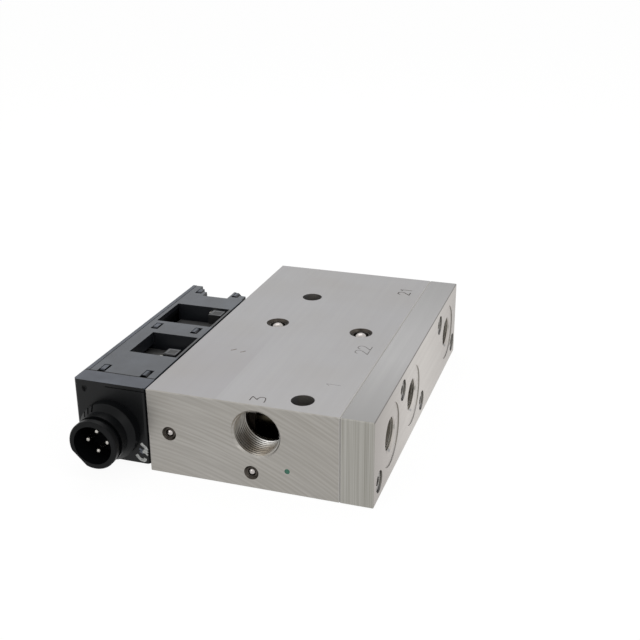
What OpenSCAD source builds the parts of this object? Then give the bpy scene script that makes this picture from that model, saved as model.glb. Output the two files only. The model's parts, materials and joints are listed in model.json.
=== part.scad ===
// Electropneumatic valve block: a drilled metal manifold with three spool valves,
// a screwed end plate, and a plastic housing with two pilot solenoids on its side.
// Build frame: X to the right from the solenoid face, Y back from the front face, Z up.

/* [Manifold block] */
// Width of the block, from the solenoid face to the end plate joint
block_w = 87.4; // [85:0.1:96]
// Length of the block, front to back
block_l = 170.4; // [169:0.1:190]
// Height of the block
block_h = 40; // [39:0.1:46]
// Broken edges of the metal parts
edge_break = 0.4; // [0.2:0.05:0.7]
// Diameter of the two mounting holes
mount_hole_d = 10.1; // [8:0.1:10.6]
// Front mounting hole, from the solenoid face
mount_front_x = 68; // [67.5:0.1:71]
// Front mounting hole, from the front face
mount_front_y = 10.4; // [9:0.1:11.5]
// Rear mounting hole, from the solenoid face
mount_rear_x = 33; // [26:0.1:34]
// Rear mounting hole, from the front face
mount_rear_y = 126.6; // [118:0.1:128]

/* [End plate] */
// Thickness of the end plate
plate_t = 14.6; // [14:0.1:20]
// Diameter of the end plate screws
screw_d = 5; // [4:0.1:5.4]
// Length of the end plate screws under the head
screw_l = 18; // [16:0.1:19]
// Head diameter of the end plate screws
screw_head_d = 8.5; // [7:0.1:9]
// Head height of the end plate screws
screw_head_h = 5; // [3:0.1:6]
// Diameter of the counterbores
counterbore_d = 9.8; // [9.4:0.1:10.4]
// Depth of the screw heads below the plate's face
head_sink = 0.8; // [0.4:0.1:2.6]
// Distance of both rows of screws from the base and from the top
screw_edge = 8; // [7:0.1:8.2]
// First screw from the front face
screw_first_y = 9; // [8:0.1:10]
// Distance from screw to screw along the plate
screw_pitch = 39.5; // [39:0.1:39.8]
// Last screw, from the front face
screw_last_y = 163; // [162:0.1:164]

/* [Ports] */
// Thread core diameter of the exhaust port in the front face
port_3_d = 20.38; // [16:0.01:20.6]
// Depth of the exhaust thread
port_3_deep = 17; // [16.5:0.1:18]
// Exhaust port, from the solenoid face
port_3_x = 50.4; // [49.5:0.1:51]
// Exhaust port, above the base
port_3_z = 26.3; // [25.5:0.1:27]
// Thread core diameter of the ports in the end plate
port_d = 14.38; // [10:0.01:15]
// Spotface diameter round those ports
spotface_d = 28.8; // [22:0.1:29]
// Depth of the spotfaces
spotface_deep = 0.4; // [0.2:0.1:1.2]
// Width of the lead-in chamfer of every thread
lead_in = 1; // [0.5:0.1:1.3]
// Height of the end plate ports and of the valve bores
port_z = 20.5; // [20:0.1:21]
// Supply port 1, from the front face
port_1_y = 27.5; // [27.2:0.1:29]
// Outlet port 22, from the front face
port_22_y = 67.5; // [65:0.1:68]
// Outlet port 21, from the front face
port_21_y = 146.7; // [145:0.1:148]

/* [Passages] */
// Diameter of the valve bores
bore_d = 18; // [16:0.1:18.4]
// Diameter of the exhaust recess in each valve bore
recess_d = 24; // [23.4:0.1:24.4]
// Width of the exhaust recess
recess_w = 14; // [12:0.1:15]
// Diameter of the exhaust gallery behind port 3
gallery_d = 13; // [10:0.1:14]
// Diameter of the transfer gallery
transfer_d = 6.6; // [5:0.1:7]
// Transfer gallery, from the solenoid face
transfer_x = 71.1; // [70.5:0.1:72]
// Diameter of the vertical drillings that meet it
vertical_d = 5.6; // [4:0.1:6]
// Diameter of the pilot drillings
pilot_d = 3.6; // [2.5:0.1:3.8]
// Pilot drilling, from the solenoid face
pilot_x = 10.1; // [9.6:0.1:10.6]
// Pilot drilling, above the base
pilot_z = 20; // [19.6:0.1:20.4]
// Lower balance drilling, from the solenoid face
balance_x = 48; // [47:0.1:52]
// Lower balance drilling, above the base
balance_z = 7.5; // [7.4:0.1:8.5]
// Diameter of the lower balance drilling
balance_d = 4; // [3.6:0.1:4.4]
// Cross drilling and vertical drillings, from the front face
cross_y = 87.6; // [86:0.1:89]
// Cross drilling, above the base
cross_z = 10; // [9.5:0.1:10.5]
// Left vertical drilling, from the solenoid face
vertical_x = 28.1; // [26:0.1:30]

/* [Ball plugs] */
// Countersink diameter of the large plugs
large_sink_d = 11.2; // [10.4:0.1:12]
// Sleeve diameter of the large plugs
large_sleeve_d = 8.8; // [8.4:0.1:9.4]
// Countersink diameter of the small plugs
small_sink_d = 6.6; // [6.2:0.1:7.2]
// Sleeve diameter of the small plugs
small_sleeve_d = 5; // [4.8:0.1:5.4]
// Wall of the plug sleeves
sleeve_wall = 0.7; // [0.5:0.05:0.9]

/* [Spool valves] */
// Radial running clearance of the spools
spool_clear = 0.05; // [0.02:0.01:0.09]
// Stroke of the spools
spool_stroke = 4.5; // [3:0.1:5]
// Stem diameter between the lands
stem_d = 9; // [7:0.1:11]
// Length of the control land
control_land = 10; // [8:0.1:12]
// Length of the two sealing lands
sealing_land = 6.4; // [5.6:0.1:7.5]
// Section diameter of the spool seals
seal_wire = 2; // [1.6:0.1:2.2]
// Thickness of the spring washers
washer_t = 1.2; // [0.8:0.1:1.6]
// Wire diameter of the return springs
spring_wire = 1.3; // [0.8:0.1:1.6]
// Coil diameter of the return springs, at the middle of the wire
spring_d = 13; // [11:0.1:14]
// Turns of a return spring
spring_turns = 4; // [3:1:6]

/* [Solenoid housing] */
// Width of the housing, from the block to its outer wall
housing_w = 35.5; // [35:0.1:38]
// Length of the housing
housing_l = 111.2; // [110.5:0.1:114]
// Front of the housing, behind the front face of the block
housing_y = 0.8; // [0:0.1:2]
// Underside of the housing above the base
housing_z = 2.4; // [2:0.1:2.6]
// Step from the block's top down to the housing's top
housing_step = 0.4; // [0.2:0.1:1]
// Wall of the housing
wall = 2; // [1.6:0.1:2.4]
// Radius of the housing's upright outer edges
corner_r = 1.5; // [0.8:0.1:2.5]
// Depth of the closed deck above the connector
deck_y = 10; // [9:0.1:11]
// Groove under the deck, from its left end to the block
groove_x = 20; // [14:0.5:26]
// Lower edge of that groove, below the housing's top
groove_drop = 2; // [1.4:0.1:3]
// Height of that groove
groove_h = 0.4; // [0.3:0.05:0.8]
// Depth of that groove
groove_deep = 0.5; // [0.3:0.1:1]
// Thickness of the gasket on the block
gasket_t = 0.8; // [0.5:0.1:1.2]
// Width of the gasket's rim
gasket_w = 2.4; // [1.8:0.1:3]
// Reach of the left rear lug behind the rear wall
lug_reach = 13.4; // [12:0.1:14]
// Reach of the right rear lug
right_lug_reach = 10.2; // [10:0.1:12]
// Reach of both lugs beside their hooks, on the right
lug_step_reach = 5.6; // [5:0.1:7]
// Width of the left rear lug
left_lug_w = 11.5; // [10:0.1:12]
// Width of the right rear lug
right_lug_w = 8.6; // [8:0.1:9.5]

/* [Lid] */
// Thickness of the lid
lid_t = 2.4; // [2:0.1:3]
// Gap all round the lid
lid_gap = 0.3; // [0.2:0.05:0.5]
// Gap between the front coil's flange and the front window's front edge
window_1_gap = 2; // [1.6:0.1:2.4]
// Left edge of the front window, from the block
window_1_x = 26; // [25:0.1:28]
// Length of the front window
window_1_l = 24.1; // [23:0.1:25]
// Front edge of the rear window
window_2_y = 73; // [72.4:0.1:74]
// Left edge of the rear window, from the block
window_2_x = 31.2; // [29:0.1:31.6]
// Gap between the rear coil's flange and the rear window's rear edge
window_2_gap = 2.6; // [2.4:0.1:3]
// Thickness of the skirts under the windows' edges
skirt_t = 1.2; // [1:0.1:1.3]
// Lower edge of those skirts
skirt_low_z = 27; // [26:0.1:29]
// Strip of the lid between the windows and the block
window_rail = 1.4; // [1.2:0.1:2]

/* [Snap hooks] */
// Width of a hook's slot
slot_w = 3.8; // [3.6:0.1:4.2]
// Length of a hook's slot
slot_l = 7.4; // [7:0.1:7.8]
// Left column of slots, from the block to the slot's left side
slot_left_x = 29.7; // [29.4:0.1:30]
// Right column of slots, from the block to the slot's left side
slot_right_x = 8.6; // [8.2:0.1:9]
// First row of slots, from the front face of the block
slot_first_y = 11.1; // [11:0.1:12]
// Distance from row to row
slot_pitch = 51.7; // [51:0.1:52.2]
// Gap in front of a hook
hook_front_gap = 2.4; // [1.8:0.1:2.8]
// Gap at the right side of a left hook
hook_side_gap = 1.3; // [0.9:0.1:1.5]
// Drop of the sloping side of a right hook
hook_drop = 2.2; // [1.4:0.1:2.6]
// Play between a hook and its slot on the other sides
hook_play = 0.12; // [0.08:0.02:0.2]

/* [Connector] */
// Axis of the connector, from the block
connector_x = 18.3; // [17.6:0.1:19]
// Axis of the connector, above the base
connector_z = 17.8; // [17:0.1:18.6]
// Outer diameter of the rim
rim_d = 22.8; // [21:0.1:24]
// Inner diameter of the socket
socket_d = 18; // [16:0.1:18.4]
// Reach of the rim in front of the block's front face
rim_reach = 16.3; // [14:0.1:18]
// Width of the rim
rim_w = 2.7; // [2:0.1:3]
// Wall of the neck behind the rim, round the socket
neck_wall = 1; // [0.8:0.1:1.4]
// Width of the neck
neck_w = 2.9; // [2:0.1:3.2]
// Diameter of the barrel behind the neck
barrel_d = 22.6; // [21.4:0.1:23]
// Diameter of the base collar
collar_d = 27.4; // [25:0.1:28.4]
// Length of the base collar
collar_l = 4.4; // [3:0.1:5]
// Length of the cone in front of the base collar
cone_l = 2.4; // [1.6:0.1:3]
// Width of the three slits in that cone
slit_w = 0.8; // [0.5:0.1:1]
// Depth of those slits behind the cone
slit_deep = 1.5; // [1:0.1:2]
// Distance of the rim's flat from the axis
rim_flat = 9.9; // [9.4:0.1:10.4]
// Depth of the socket from the rim
socket_deep = 13.5; // [11:0.1:14]
// Diameter of the contact pins
pin_d = 2.5; // [1.6:0.1:2.6]
// Distance of the contact pins from the axis
pin_circle_r = 4.8; // [4.2:0.1:5.2]
// Distance of the pin tips behind the rim
pin_tip_back = 3.8; // [3:0.1:6]

/* [Solenoids] */
// Front solenoid, from the front face of the block
solenoid_1_y = 46.5; // [46:0.1:47]
// Rear solenoid, from the front face of the block
solenoid_2_y = 84.9; // [84.5:0.1:85.4]
// Length of the yoke along the solenoid's axis
yoke_l = 24; // [22:0.1:25]
// Height of the yoke
yoke_h = 24; // [23:0.1:24.6]
// Width of the yoke
yoke_w = 17; // [15:0.1:17.4]
// Thickness of the yoke's steel
yoke_t = 1.6; // [1.2:0.1:2]
// Gap between the yoke and the housing's inner wall
yoke_gap = 1.6; // [1:0.1:2]
// Outer diameter of the bobbin flanges
flange_d = 20; // [18:0.1:20.4]
// Thickness of the bobbin flanges
flange_t = 1.4; // [1:0.1:2]
// Wall of the bobbin tube
bobbin_wall = 0.9; // [0.7:0.05:1.1]
// Outer diameter of the copper winding
winding_d = 18.4; // [15:0.1:18.6]
// Outer diameter of the guide tube
tube_d = 10.4; // [9:0.1:10.8]
// Wall of the guide tube
tube_wall = 0.5; // [0.4:0.05:0.7]
// Radial running clearance of the armatures
armature_clear = 0.06; // [0.03:0.01:0.09]
// Stroke of the armatures
armature_stroke = 0.8; // [0.5:0.05:1.2]
// Length of the armatures with their seals
armature_l = 15; // [13:0.1:16]
// Thickness of the armature's rubber seal
armature_seal_t = 1.6; // [1.2:0.1:2]
// Wire diameter of the armature springs
armature_wire = 0.6; // [0.4:0.05:0.7]
// Coil diameter of the armature springs, at the middle of the wire
armature_spring_d = 4.4; // [3.6:0.1:4.6]
// Turns of an armature spring
armature_turns = 5; // [4:1:7]
// Width of the coil's terminal block along the solenoid's axis
terminal_w = 6.2; // [5:0.1:6.4]
// Length of the terminal block's head
terminal_l = 6.4; // [5:0.1:7]
// Thickness of the web under the terminal block
web_t = 0.9; // [0.8:0.05:1.1]
// Gap between the yoke's top and the terminal block's head
terminal_gap = 1.8; // [1.2:0.1:2.4]
// Reach of that head towards the metal block, past the bobbin
terminal_reach = 2.4; // [1.6:0.1:2.8]
// Bore of the pilot nozzles
nozzle_bore = 1.6; // [1:0.1:1.8]
// Outer diameter of the pilot nozzles
nozzle_d = 4; // [3.6:0.1:4.4]
// Depth of the pilot nozzles in the metal block
nozzle_in = 4; // [3:0.1:4.4]
// Diameter of the fixed core's stud
stud_d = 5; // [4:0.1:6]
// Width of the core nuts over their corners
nut_d = 9.2; // [8:0.1:10]
// Thickness of the core nuts
nut_t = 2.4; // [1.8:0.1:2.6]

/* [Housing screws] */
// Diameter of the housing screws
housing_screw_d = 4; // [3:0.1:4.2]
// Depth of the housing screws in the block
housing_screw_in = 8; // [6:0.1:9]
// Diameter of the screw pillars through the housing
pillar_d = 8; // [7.4:0.1:8.2]
// Front pair of pillars, from the front face of the block
pillar_front_y = 25; // [24.6:0.1:26]
// Rear pair of pillars
pillar_rear_y = 103.5; // [103:0.1:104.5]
// Height of the lower pillars
pillar_low_z = 12.6; // [12.5:0.1:13]
// Upper pillars, below the housing's top
pillar_drop = 6.6; // [6.4:0.1:6.9]

/* [Hidden] */
$fn = 64;

// Small overlap that keeps cutters clear of the faces they open
eps = 0.01;
// Clearance where a screw, a sleeve or a tube sits in its hole
seat_clear = 0.05;
total_w = block_w + plate_t;
counterbore_deep = screw_head_h + head_sink;

// Screws of the end plate, in a zigzag from front to back
screw_ys = [for (i = [0 : 4]) i < 4 ? screw_first_y + i * screw_pitch : screw_last_y];

// Valve rows: place along the block and end of the bore
row_y = [port_1_y, port_22_y, port_21_y];
pilot_r = pilot_d / 2;
pilot_lap = 2.8;
pilot_wall = 4;
long_bore_x = pilot_x + pilot_r - pilot_lap;
short_bore_x = pilot_x + pilot_r + pilot_wall;
row_bore_x = [short_bore_x, long_bore_x, long_bore_x];

// Plug seats
ball_sink = 0.2;
large_ball_r = large_sleeve_d / 2 - sleeve_wall;
small_ball_r = small_sleeve_d / 2 - sleeve_wall;
vertical_floor = cross_z - pilot_r - 0.9;

// Face groove of the port seals in the end plate
seal_groove_deep = seal_wire - 0.1;
seal_groove_r = bore_d / 2 + 1.2;

// Spools
spool_r = bore_d / 2 - spool_clear;
groove_w = seal_wire + 0.4;
spool_nub = 2;
spool_right_x = port_3_x + recess_w / 2 + spool_stroke / 2 + sealing_land;
mid_land_x = port_3_x - recess_w / 2 - spool_stroke / 2 - sealing_land;
right_land_x = spool_right_x - sealing_land;
washer_x = block_w - washer_t;

// Housing
house_left = -housing_w;
house_right = -gasket_t;
house_top = block_h - housing_step;
housing_h = house_top - housing_z;
house_back = housing_y + housing_l;
lid_z = house_top - lid_t;
floor_z = housing_z + wall;
lid_front = housing_y + deck_y + lid_gap;
lid_left = house_left + wall + lid_gap;
lid_right = house_right - lid_gap;
lug_top = lid_z - lid_gap;
lug_drop = 14;
lug_slope = 8;
right_lug_x = house_right - 0.4 - right_lug_w;
hook_l = slot_l - hook_front_gap - hook_play;
slot_rows = [for (i = [0 : 2]) slot_first_y + i * slot_pitch];
slot_columns = [-slot_left_x, -slot_right_x];
pillar_high_z = house_top - pillar_drop;
pillars = [for (y = [pillar_front_y, pillar_rear_y], z = [pillar_low_z, pillar_high_z]) [y, z]];
gasket_inset = 1;
head_recess = 5;
head_h = 3.6;

// Connector
connector_at = [-connector_x, connector_z];
neck_d = socket_d + 2 * neck_wall;
rim_y = -rim_reach;
collar_y = housing_y - collar_l;
socket_floor_y = rim_y + socket_deep;
pin_angles = [0, 90, 180, 270];
slit_angles = [118, 130, 142];
slit_skin = 0.2;
rim_chamfer = 0.5;
collar_chamfer = 0.4;

// Solenoids, seen along their axis from the block
solenoid_z = port_z;
tube_r = tube_d / 2;
armature_r = tube_r - tube_wall - armature_clear;
solenoid_ys = [solenoid_1_y, solenoid_2_y];
yoke_right = house_right - wall - yoke_gap;
yoke_left = yoke_right - yoke_l;
coil_left = yoke_left + yoke_t + 0.2;
coil_right = yoke_right - yoke_t - 0.2;
tube_left = yoke_left + yoke_t + 0.1;
yoke_top = solenoid_z + yoke_h / 2;
nozzle_lip = 1;
seal_face = -nozzle_lip - 0.05;
armature_right = seal_face - armature_seal_t;
armature_left = seal_face - armature_l;
core_right = armature_left - armature_stroke - 0.05;
spring_pocket = 5;
tube_flange_t = 1.2;
tube_flange_r = tube_r + 2.6;
terminal_top = house_top - 0.3;
head_low_z = yoke_top + terminal_gap;
window_1_y = solenoid_1_y - flange_d / 2 - window_1_gap;
window_2_l = solenoid_2_y + flange_d / 2 + window_2_gap - window_2_y;
stud_r = stud_d / 2;
// The front coil's terminal block is on its front side, the rear coil's on its rear side
coil_side = [-1, 1];
web_inner_y = yoke_w / 2 + 0.3;
block_side_y = web_inner_y + web_t;

// Stamped tracks: blade section, and the way of each from its contact pin to its coil
blade_w = 1.6;
blade_t = 0.8;
track_gap = 1.3;
track_step = 2.2;
// Inner end of each contact pin, staggered so that the tracks pass one another
pin_end_y = [for (i = [0 : 3]) housing_y + wall + 1.2 + (i == 1 ? 2.4 : 0)];
track_run_x = [-13.2, -18.4, -23.4, -20.8];
outer_rise_x = coil_right - flange_t - 3.6;
inner_rise_x = coil_right - flange_t / 2;
skirt_end_x = inner_rise_x - blade_w / 2 - 1;
front_rise_y = solenoid_1_y - flange_d / 2 - track_gap;
rear_rise_y = solenoid_2_y + flange_d / 2 + track_gap;

// Coil springs: corners of the wire's section, and steps of a turn
coil_sides = 6;
coil_steps = 16;

// Places that the part's origin at the middle of the metal block's base
module place() {
    translate([-total_w / 2, -block_l / 2, 0])
        children();
}

// Turns a shape drawn along Z so that it runs along +X from a point
module along_x(x, y, z) {
    translate([x, y, z])
        rotate([0, 90, 0])
            children();
}

// Turns a shape drawn along Z so that it runs along +Y from a point
module along_y(x, y, z) {
    translate([x, y, z])
        rotate([-90, 0, 0])
            children();
}

// Outline of a rectangle with its corners cut at 45 degrees
module cut_corner_rect(w, h, c) {
    polygon([[c, 0], [w - c, 0], [w, c], [w, h - c], [w - c, h], [c, h], [0, h - c], [0, c]]);
}

// Block with every edge broken
module broken_block(w, l, h, c) {
    intersection() {
        linear_extrude(h)
            cut_corner_rect(w, l, c);
        translate([0, l, 0])
            rotate([90, 0, 0])
                linear_extrude(l)
                    cut_corner_rect(w, h, c);
        rotate([90, 0, 90])
            linear_extrude(w)
                cut_corner_rect(l, h, c);
    }
}

// Outline of a rectangle with round corners
module round_rect(w, h, r) {
    translate([r, 0])
        square([w - 2 * r, h]);
    translate([0, r])
        square([w, h - 2 * r]);
    for (x = [r, w - r], y = [r, h - r])
        translate([x, y])
            circle(r);
}

// Threaded mouth: core bore with a lead-in chamfer, opening at z = 0 towards -Z
module thread_mouth(d, deep) {
    cylinder(d = d, h = deep);
    translate([0, 0, -eps])
        cylinder(d1 = d + 2 * lead_in + 2 * eps, d2 = d, h = lead_in + eps);
}

// Hole of a ball plug, opening at z = 0 towards -Z
module plug_hole(sink_d, sleeve_d) {
    sink = (sink_d - sleeve_d) / 2;
    translate([0, 0, -eps])
        cylinder(d1 = sink_d + 2 * eps, d2 = sleeve_d, h = sink + eps);
    cylinder(d = sleeve_d, h = sink + sleeve_d);
}

// Cup of a ball plug, in the same place as its hole
module plug_cup(sink_d, sleeve_d) {
    sink = (sink_d - sleeve_d) / 2;
    translate([0, 0, sink])
        difference() {
            cylinder(d = sleeve_d - 2 * seat_clear, h = sleeve_d);
            translate([0, 0, -eps])
                cylinder(d = sleeve_d - 2 * sleeve_wall, h = sleeve_d - sleeve_wall);
        }
}

// Ball of a ball plug, its crown just below the surface
module plug_ball(ball_r) {
    translate([0, 0, ball_r + ball_sink])
        sphere(ball_r - 0.02);
}

// Puts children at each large plug: two on top and one in the rear face
module at_large_plugs() {
    for (x = [vertical_x, transfer_x])
        translate([x, cross_y, block_h])
            rotate([180, 0, 0])
                children();
    translate([transfer_x, block_l, port_z])
        rotate([90, 0, 0])
            children();
}

// Puts children at each small plug in the front face
module at_small_plugs() {
    along_y(pilot_x, 0, pilot_z)
        children();
    along_y(balance_x, 0, balance_z)
        children();
}

// Puts children at each end plate screw, on the plate's outer face, looking in
module at_screws() {
    for (i = [0 : 4])
        translate([total_w, screw_ys[i], i % 2 == 0 ? screw_edge : block_h - screw_edge])
            rotate([0, -90, 0])
                children();
}

module valve_bores() {
    for (i = [0 : 2]) {
        along_x(row_bore_x[i], row_y[i], port_z)
            cylinder(d = bore_d, h = block_w - row_bore_x[i] + 1);
        along_x(port_3_x - recess_w / 2, row_y[i], port_z)
            cylinder(d = recess_d, h = recess_w);
    }
}

module passages() {
    // Exhaust port and gallery
    along_y(port_3_x, 0, port_3_z)
        thread_mouth(port_3_d, port_3_deep);
    along_y(port_3_x, 0, port_3_z)
        cylinder(d = gallery_d, h = port_21_y + bore_d / 4);
    // Transfer gallery, drilled from the rear
    along_y(transfer_x, port_1_y - 2, port_z)
        cylinder(d = transfer_d, h = block_l - port_1_y + 1);
    // Pilot drilling to the two outlet valves
    along_y(pilot_x, 0, pilot_z)
        cylinder(d = pilot_d, h = port_21_y + 2);
    // Balance drilling under the valve bores
    along_y(balance_x, 0, balance_z)
        cylinder(d = balance_d, h = port_22_y + 1);
    // Cross drilling from the solenoid face, and the vertical drillings that meet it
    along_x(-1, cross_y, cross_z)
        cylinder(d = pilot_d, h = transfer_x + 1.6);
    for (x = [vertical_x, transfer_x])
        translate([x, cross_y, vertical_floor])
            cylinder(d = vertical_d, h = block_h - vertical_floor - 1);
    // Outlet of the rear solenoid
    along_x(-1, solenoid_2_y, pilot_z)
        cylinder(d = pilot_d - 1, h = pilot_x + 1);
    // Slanting outlet of the front solenoid to the supply valve
    slant_outlet();
}

// Drilling from the front solenoid's seat to the first valve's control chamber
module slant_outlet() {
    start = [0, solenoid_1_y, solenoid_z + 6];
    rise = row_bore_x[0] + 2;
    run = solenoid_1_y - port_1_y - 5;
    translate(start)
        rotate([0, 0, -atan2(run, rise)])
            translate([-1, 0, 0])
                rotate([0, 90, 0])
                    cylinder(d = pilot_d - 1, h = norm([run, rise]) + 1);
}

// Pilot nozzle seats and threads of the housing screws
module solenoid_face_holes() {
    for (y = solenoid_ys)
        along_x(-eps, y, solenoid_z)
            cylinder(d = nozzle_d + 2 * seat_clear, h = nozzle_in + eps);
    for (p = pillars)
        along_x(-eps, p[0], p[1])
            cylinder(d = housing_screw_d + 2 * seat_clear, h = housing_screw_in + 2);
}

module manifold_block() {
    color([0.70, 0.69, 0.68])
        place()
            difference() {
                broken_block(block_w, block_l, block_h, edge_break);
                valve_bores();
                passages();
                solenoid_face_holes();
                for (p = [[mount_front_x, mount_front_y], [mount_rear_x, mount_rear_y]])
                    translate([p[0], p[1], -1])
                        cylinder(d = mount_hole_d, h = block_h + 2);
                at_large_plugs()
                    plug_hole(large_sink_d, large_sleeve_d);
                at_small_plugs()
                    plug_hole(small_sink_d, small_sleeve_d);
                at_screws()
                    cylinder(d = screw_d + 2 * seat_clear, h = counterbore_deep + screw_l + 1);
            }
}

module end_plate() {
    color([0.73, 0.72, 0.70])
        place()
            difference() {
                translate([block_w, 0, 0])
                    broken_block(plate_t, block_l, block_h, edge_break);
                for (y = row_y) {
                    along_x(block_w - 1, y, port_z)
                        cylinder(d = port_d, h = plate_t + 2);
                    translate([total_w - spotface_deep, y, port_z])
                        rotate([0, -90, 0])
                            thread_mouth(port_d, lead_in);
                    along_x(total_w - spotface_deep, y, port_z)
                        cylinder(d = spotface_d, h = spotface_deep + 1);
                    along_x(block_w - eps, y, port_z)
                        difference() {
                            cylinder(r = seal_groove_r + seal_wire + 0.3, h = seal_groove_deep + eps);
                            translate([0, 0, -1])
                                cylinder(r = seal_groove_r, h = seal_groove_deep + 2);
                        }
                }
                at_screws() {
                    translate([0, 0, -1])
                        cylinder(d = counterbore_d, h = counterbore_deep + 1);
                    cylinder(d = screw_d + 0.5, h = plate_t + 1);
                }
            }
}

module end_plate_screws() {
    color([0.35, 0.35, 0.36])
        place()
            at_screws()
                translate([0, 0, counterbore_deep]) {
                    cylinder(d = screw_d, h = screw_l);
                    translate([0, 0, -screw_head_h])
                        difference() {
                            cylinder(d = screw_head_d, h = screw_head_h);
                            translate([0, 0, -eps])
                                cylinder(d = screw_d * 0.92, h = screw_head_h / 2, $fn = 6);
                        }
                }
}

// Ring of round section, its plane across X
module ring_x(x, y, z, ring_r, section_r) {
    along_x(x, y, z)
        rotate_extrude()
            translate([ring_r, 0])
                circle(section_r, $fn = 24);
}

module port_seals() {
    color([0.08, 0.08, 0.08])
        place()
            for (y = row_y)
                ring_x(block_w + seal_groove_deep / 2, y, port_z,
                       seal_groove_r + seal_wire / 2 + 0.15, seal_groove_deep / 2 - 0.03);
}

module large_plug_sleeves() {
    color([0.55, 0.53, 0.50])
        place()
            at_large_plugs()
                plug_cup(large_sink_d, large_sleeve_d);
}

module large_plug_balls() {
    color([0.80, 0.80, 0.80])
        place()
            at_large_plugs()
                plug_ball(large_ball_r);
}

module small_plug_sleeves() {
    color([0.55, 0.53, 0.50])
        place()
            at_small_plugs()
                plug_cup(small_sink_d, small_sleeve_d);
}

module small_plug_balls() {
    color([0.80, 0.80, 0.80])
        place()
            at_small_plugs()
                plug_ball(small_ball_r);
}

module spring_washers() {
    color([0.62, 0.62, 0.62])
        place()
            for (y = row_y)
                along_x(washer_x, y, port_z)
                    difference() {
                        cylinder(r = bore_d / 2 - seat_clear, h = washer_t);
                        translate([0, 0, -1])
                            cylinder(d = port_d - 2, h = washer_t + 2);
                    }
}

// Land of a spool with a seal groove in its middle, drawn along Z
module spool_land(length) {
    difference() {
        cylinder(r = spool_r, h = length);
        translate([0, 0, (length - groove_w) / 2])
            difference() {
                cylinder(r = spool_r + 1, h = groove_w);
                translate([0, 0, -1])
                    cylinder(r = spool_r - seal_wire, h = groove_w + 2);
            }
    }
}

// Left end of the spool in a valve row
function spool_left(row) = row_bore_x[row] + 0.1;
function control_x(row) = spool_left(row) + spool_nub;

module spool(row) {
    color([0.62, 0.60, 0.45])
        place() {
            along_x(spool_left(row), row_y[row], port_z)
                cylinder(d = stem_d, h = spool_right_x - spool_left(row));
            along_x(control_x(row), row_y[row], port_z)
                spool_land(control_land);
            for (x = [mid_land_x, right_land_x])
                along_x(x, row_y[row], port_z)
                    spool_land(sealing_land);
        }
}

module spool_seals(row) {
    seal_r = spool_r - seal_wire / 2;
    color([0.10, 0.10, 0.10])
        place()
            for (x = [control_x(row) + control_land / 2, mid_land_x + sealing_land / 2,
                      right_land_x + sealing_land / 2])
                ring_x(x, row_y[row], port_z, seal_r, seal_wire / 2 - 0.02);
}

// Point of a round-wire coil spring that runs along Z
function coil_point(i, s, coil_r, wire_r, rise) =
    let (a = 360 * i / coil_steps, b = 360 * s / coil_sides, r = coil_r + wire_r * cos(b))
    [r * cos(a), r * sin(a), wire_r + rise * i + wire_r * sin(b)];

module coil_spring(coil_d, wire_d, length, turns) {
    rings = turns * coil_steps;
    wire_r = wire_d / 2;
    rise = (length - wire_d) / rings;
    points = [for (i = [0 : rings], s = [0 : coil_sides - 1])
              coil_point(i, s, coil_d / 2, wire_r, rise)];
    side_faces = [for (i = [0 : rings - 1], s = [0 : coil_sides - 1])
                  let (a = i * coil_sides + s, b = i * coil_sides + (s + 1) % coil_sides)
                  each [[a, b, b + coil_sides], [a, b + coil_sides, a + coil_sides]]];
    start_cap = [[for (s = [coil_sides - 1 : -1 : 0]) s]];
    end_cap = [[for (s = [0 : coil_sides - 1]) rings * coil_sides + s]];
    polyhedron(points, concat(side_faces, start_cap, end_cap));
}

module spool_spring(row) {
    gap = 0.05;
    color([0.66, 0.66, 0.68])
        place()
            along_x(spool_right_x + gap, row_y[row], port_z)
                coil_spring(spring_d, spring_wire, washer_x - spool_right_x - 2 * gap, spring_turns);
}

// Outer body of the connector, drawn along Z from the rim towards the housing
module connector_outside() {
    neck_start = rim_w;
    barrel_start = rim_w + neck_w;
    collar_start = collar_y - rim_y;
    end = housing_y - rim_y + eps;
    rotate_extrude()
        polygon([[0, 0], [rim_d / 2 - rim_chamfer, 0], [rim_d / 2, rim_chamfer],
                 [rim_d / 2, neck_start], [neck_d / 2, neck_start],
                 [neck_d / 2, barrel_start], [barrel_d / 2, barrel_start],
                 [barrel_d / 2, collar_start - cone_l],
                 [collar_d / 2 - collar_chamfer, collar_start],
                 [collar_d / 2, collar_start + collar_chamfer], [collar_d / 2, end], [0, end]]);
}

// Three slits across the cone, towards the upper left
module cone_slits() {
    for (a = slit_angles)
        translate([connector_at[0], collar_y - cone_l, connector_at[1]])
            rotate([0, -a, 0])
                translate([barrel_d / 2 + slit_skin, 0, -slit_w / 2])
                    cube([collar_d, cone_l + slit_deep, slit_w]);
}

// Puts children on the connector's axis at a distance along Y
module at_connector(y) {
    along_y(connector_at[0], y, connector_at[1])
        children();
}

module connector_solid() {
    difference() {
        at_connector(rim_y)
            connector_outside();
        // Flat on the rim, towards the lower left
        translate([connector_at[0], rim_y, connector_at[1]])
            rotate([0, -45, 0])
                translate([-rim_d - rim_flat, -1, -rim_d])
                    cube([rim_d, rim_w + 1 - eps, 2 * rim_d]);
    }
}

// Left hook: upright tongue with a small cut on its front edge
module left_hook(y, foot) {
    top = house_top - 0.2;
    edge = 0.5;
    translate([slot_columns[0] + hook_play, y, 0])
        rotate([90, 0, 90])
            linear_extrude(slot_w - hook_side_gap - hook_play)
                polygon([[0, foot], [hook_l, foot], [hook_l, top], [edge, top], [0, top - edge]]);
}

// Right hook: its top slopes down towards the metal block
module right_hook(y, foot) {
    top = house_top - 0.2;
    w = slot_w - 2 * hook_play;
    translate([slot_columns[1] + hook_play, y + hook_l, 0])
        rotate([90, 0, 0])
            linear_extrude(hook_l)
                polygon([[0, foot], [w, foot], [w, top - hook_drop], [w * 0.4, top], [0, top]]);
}

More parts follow.
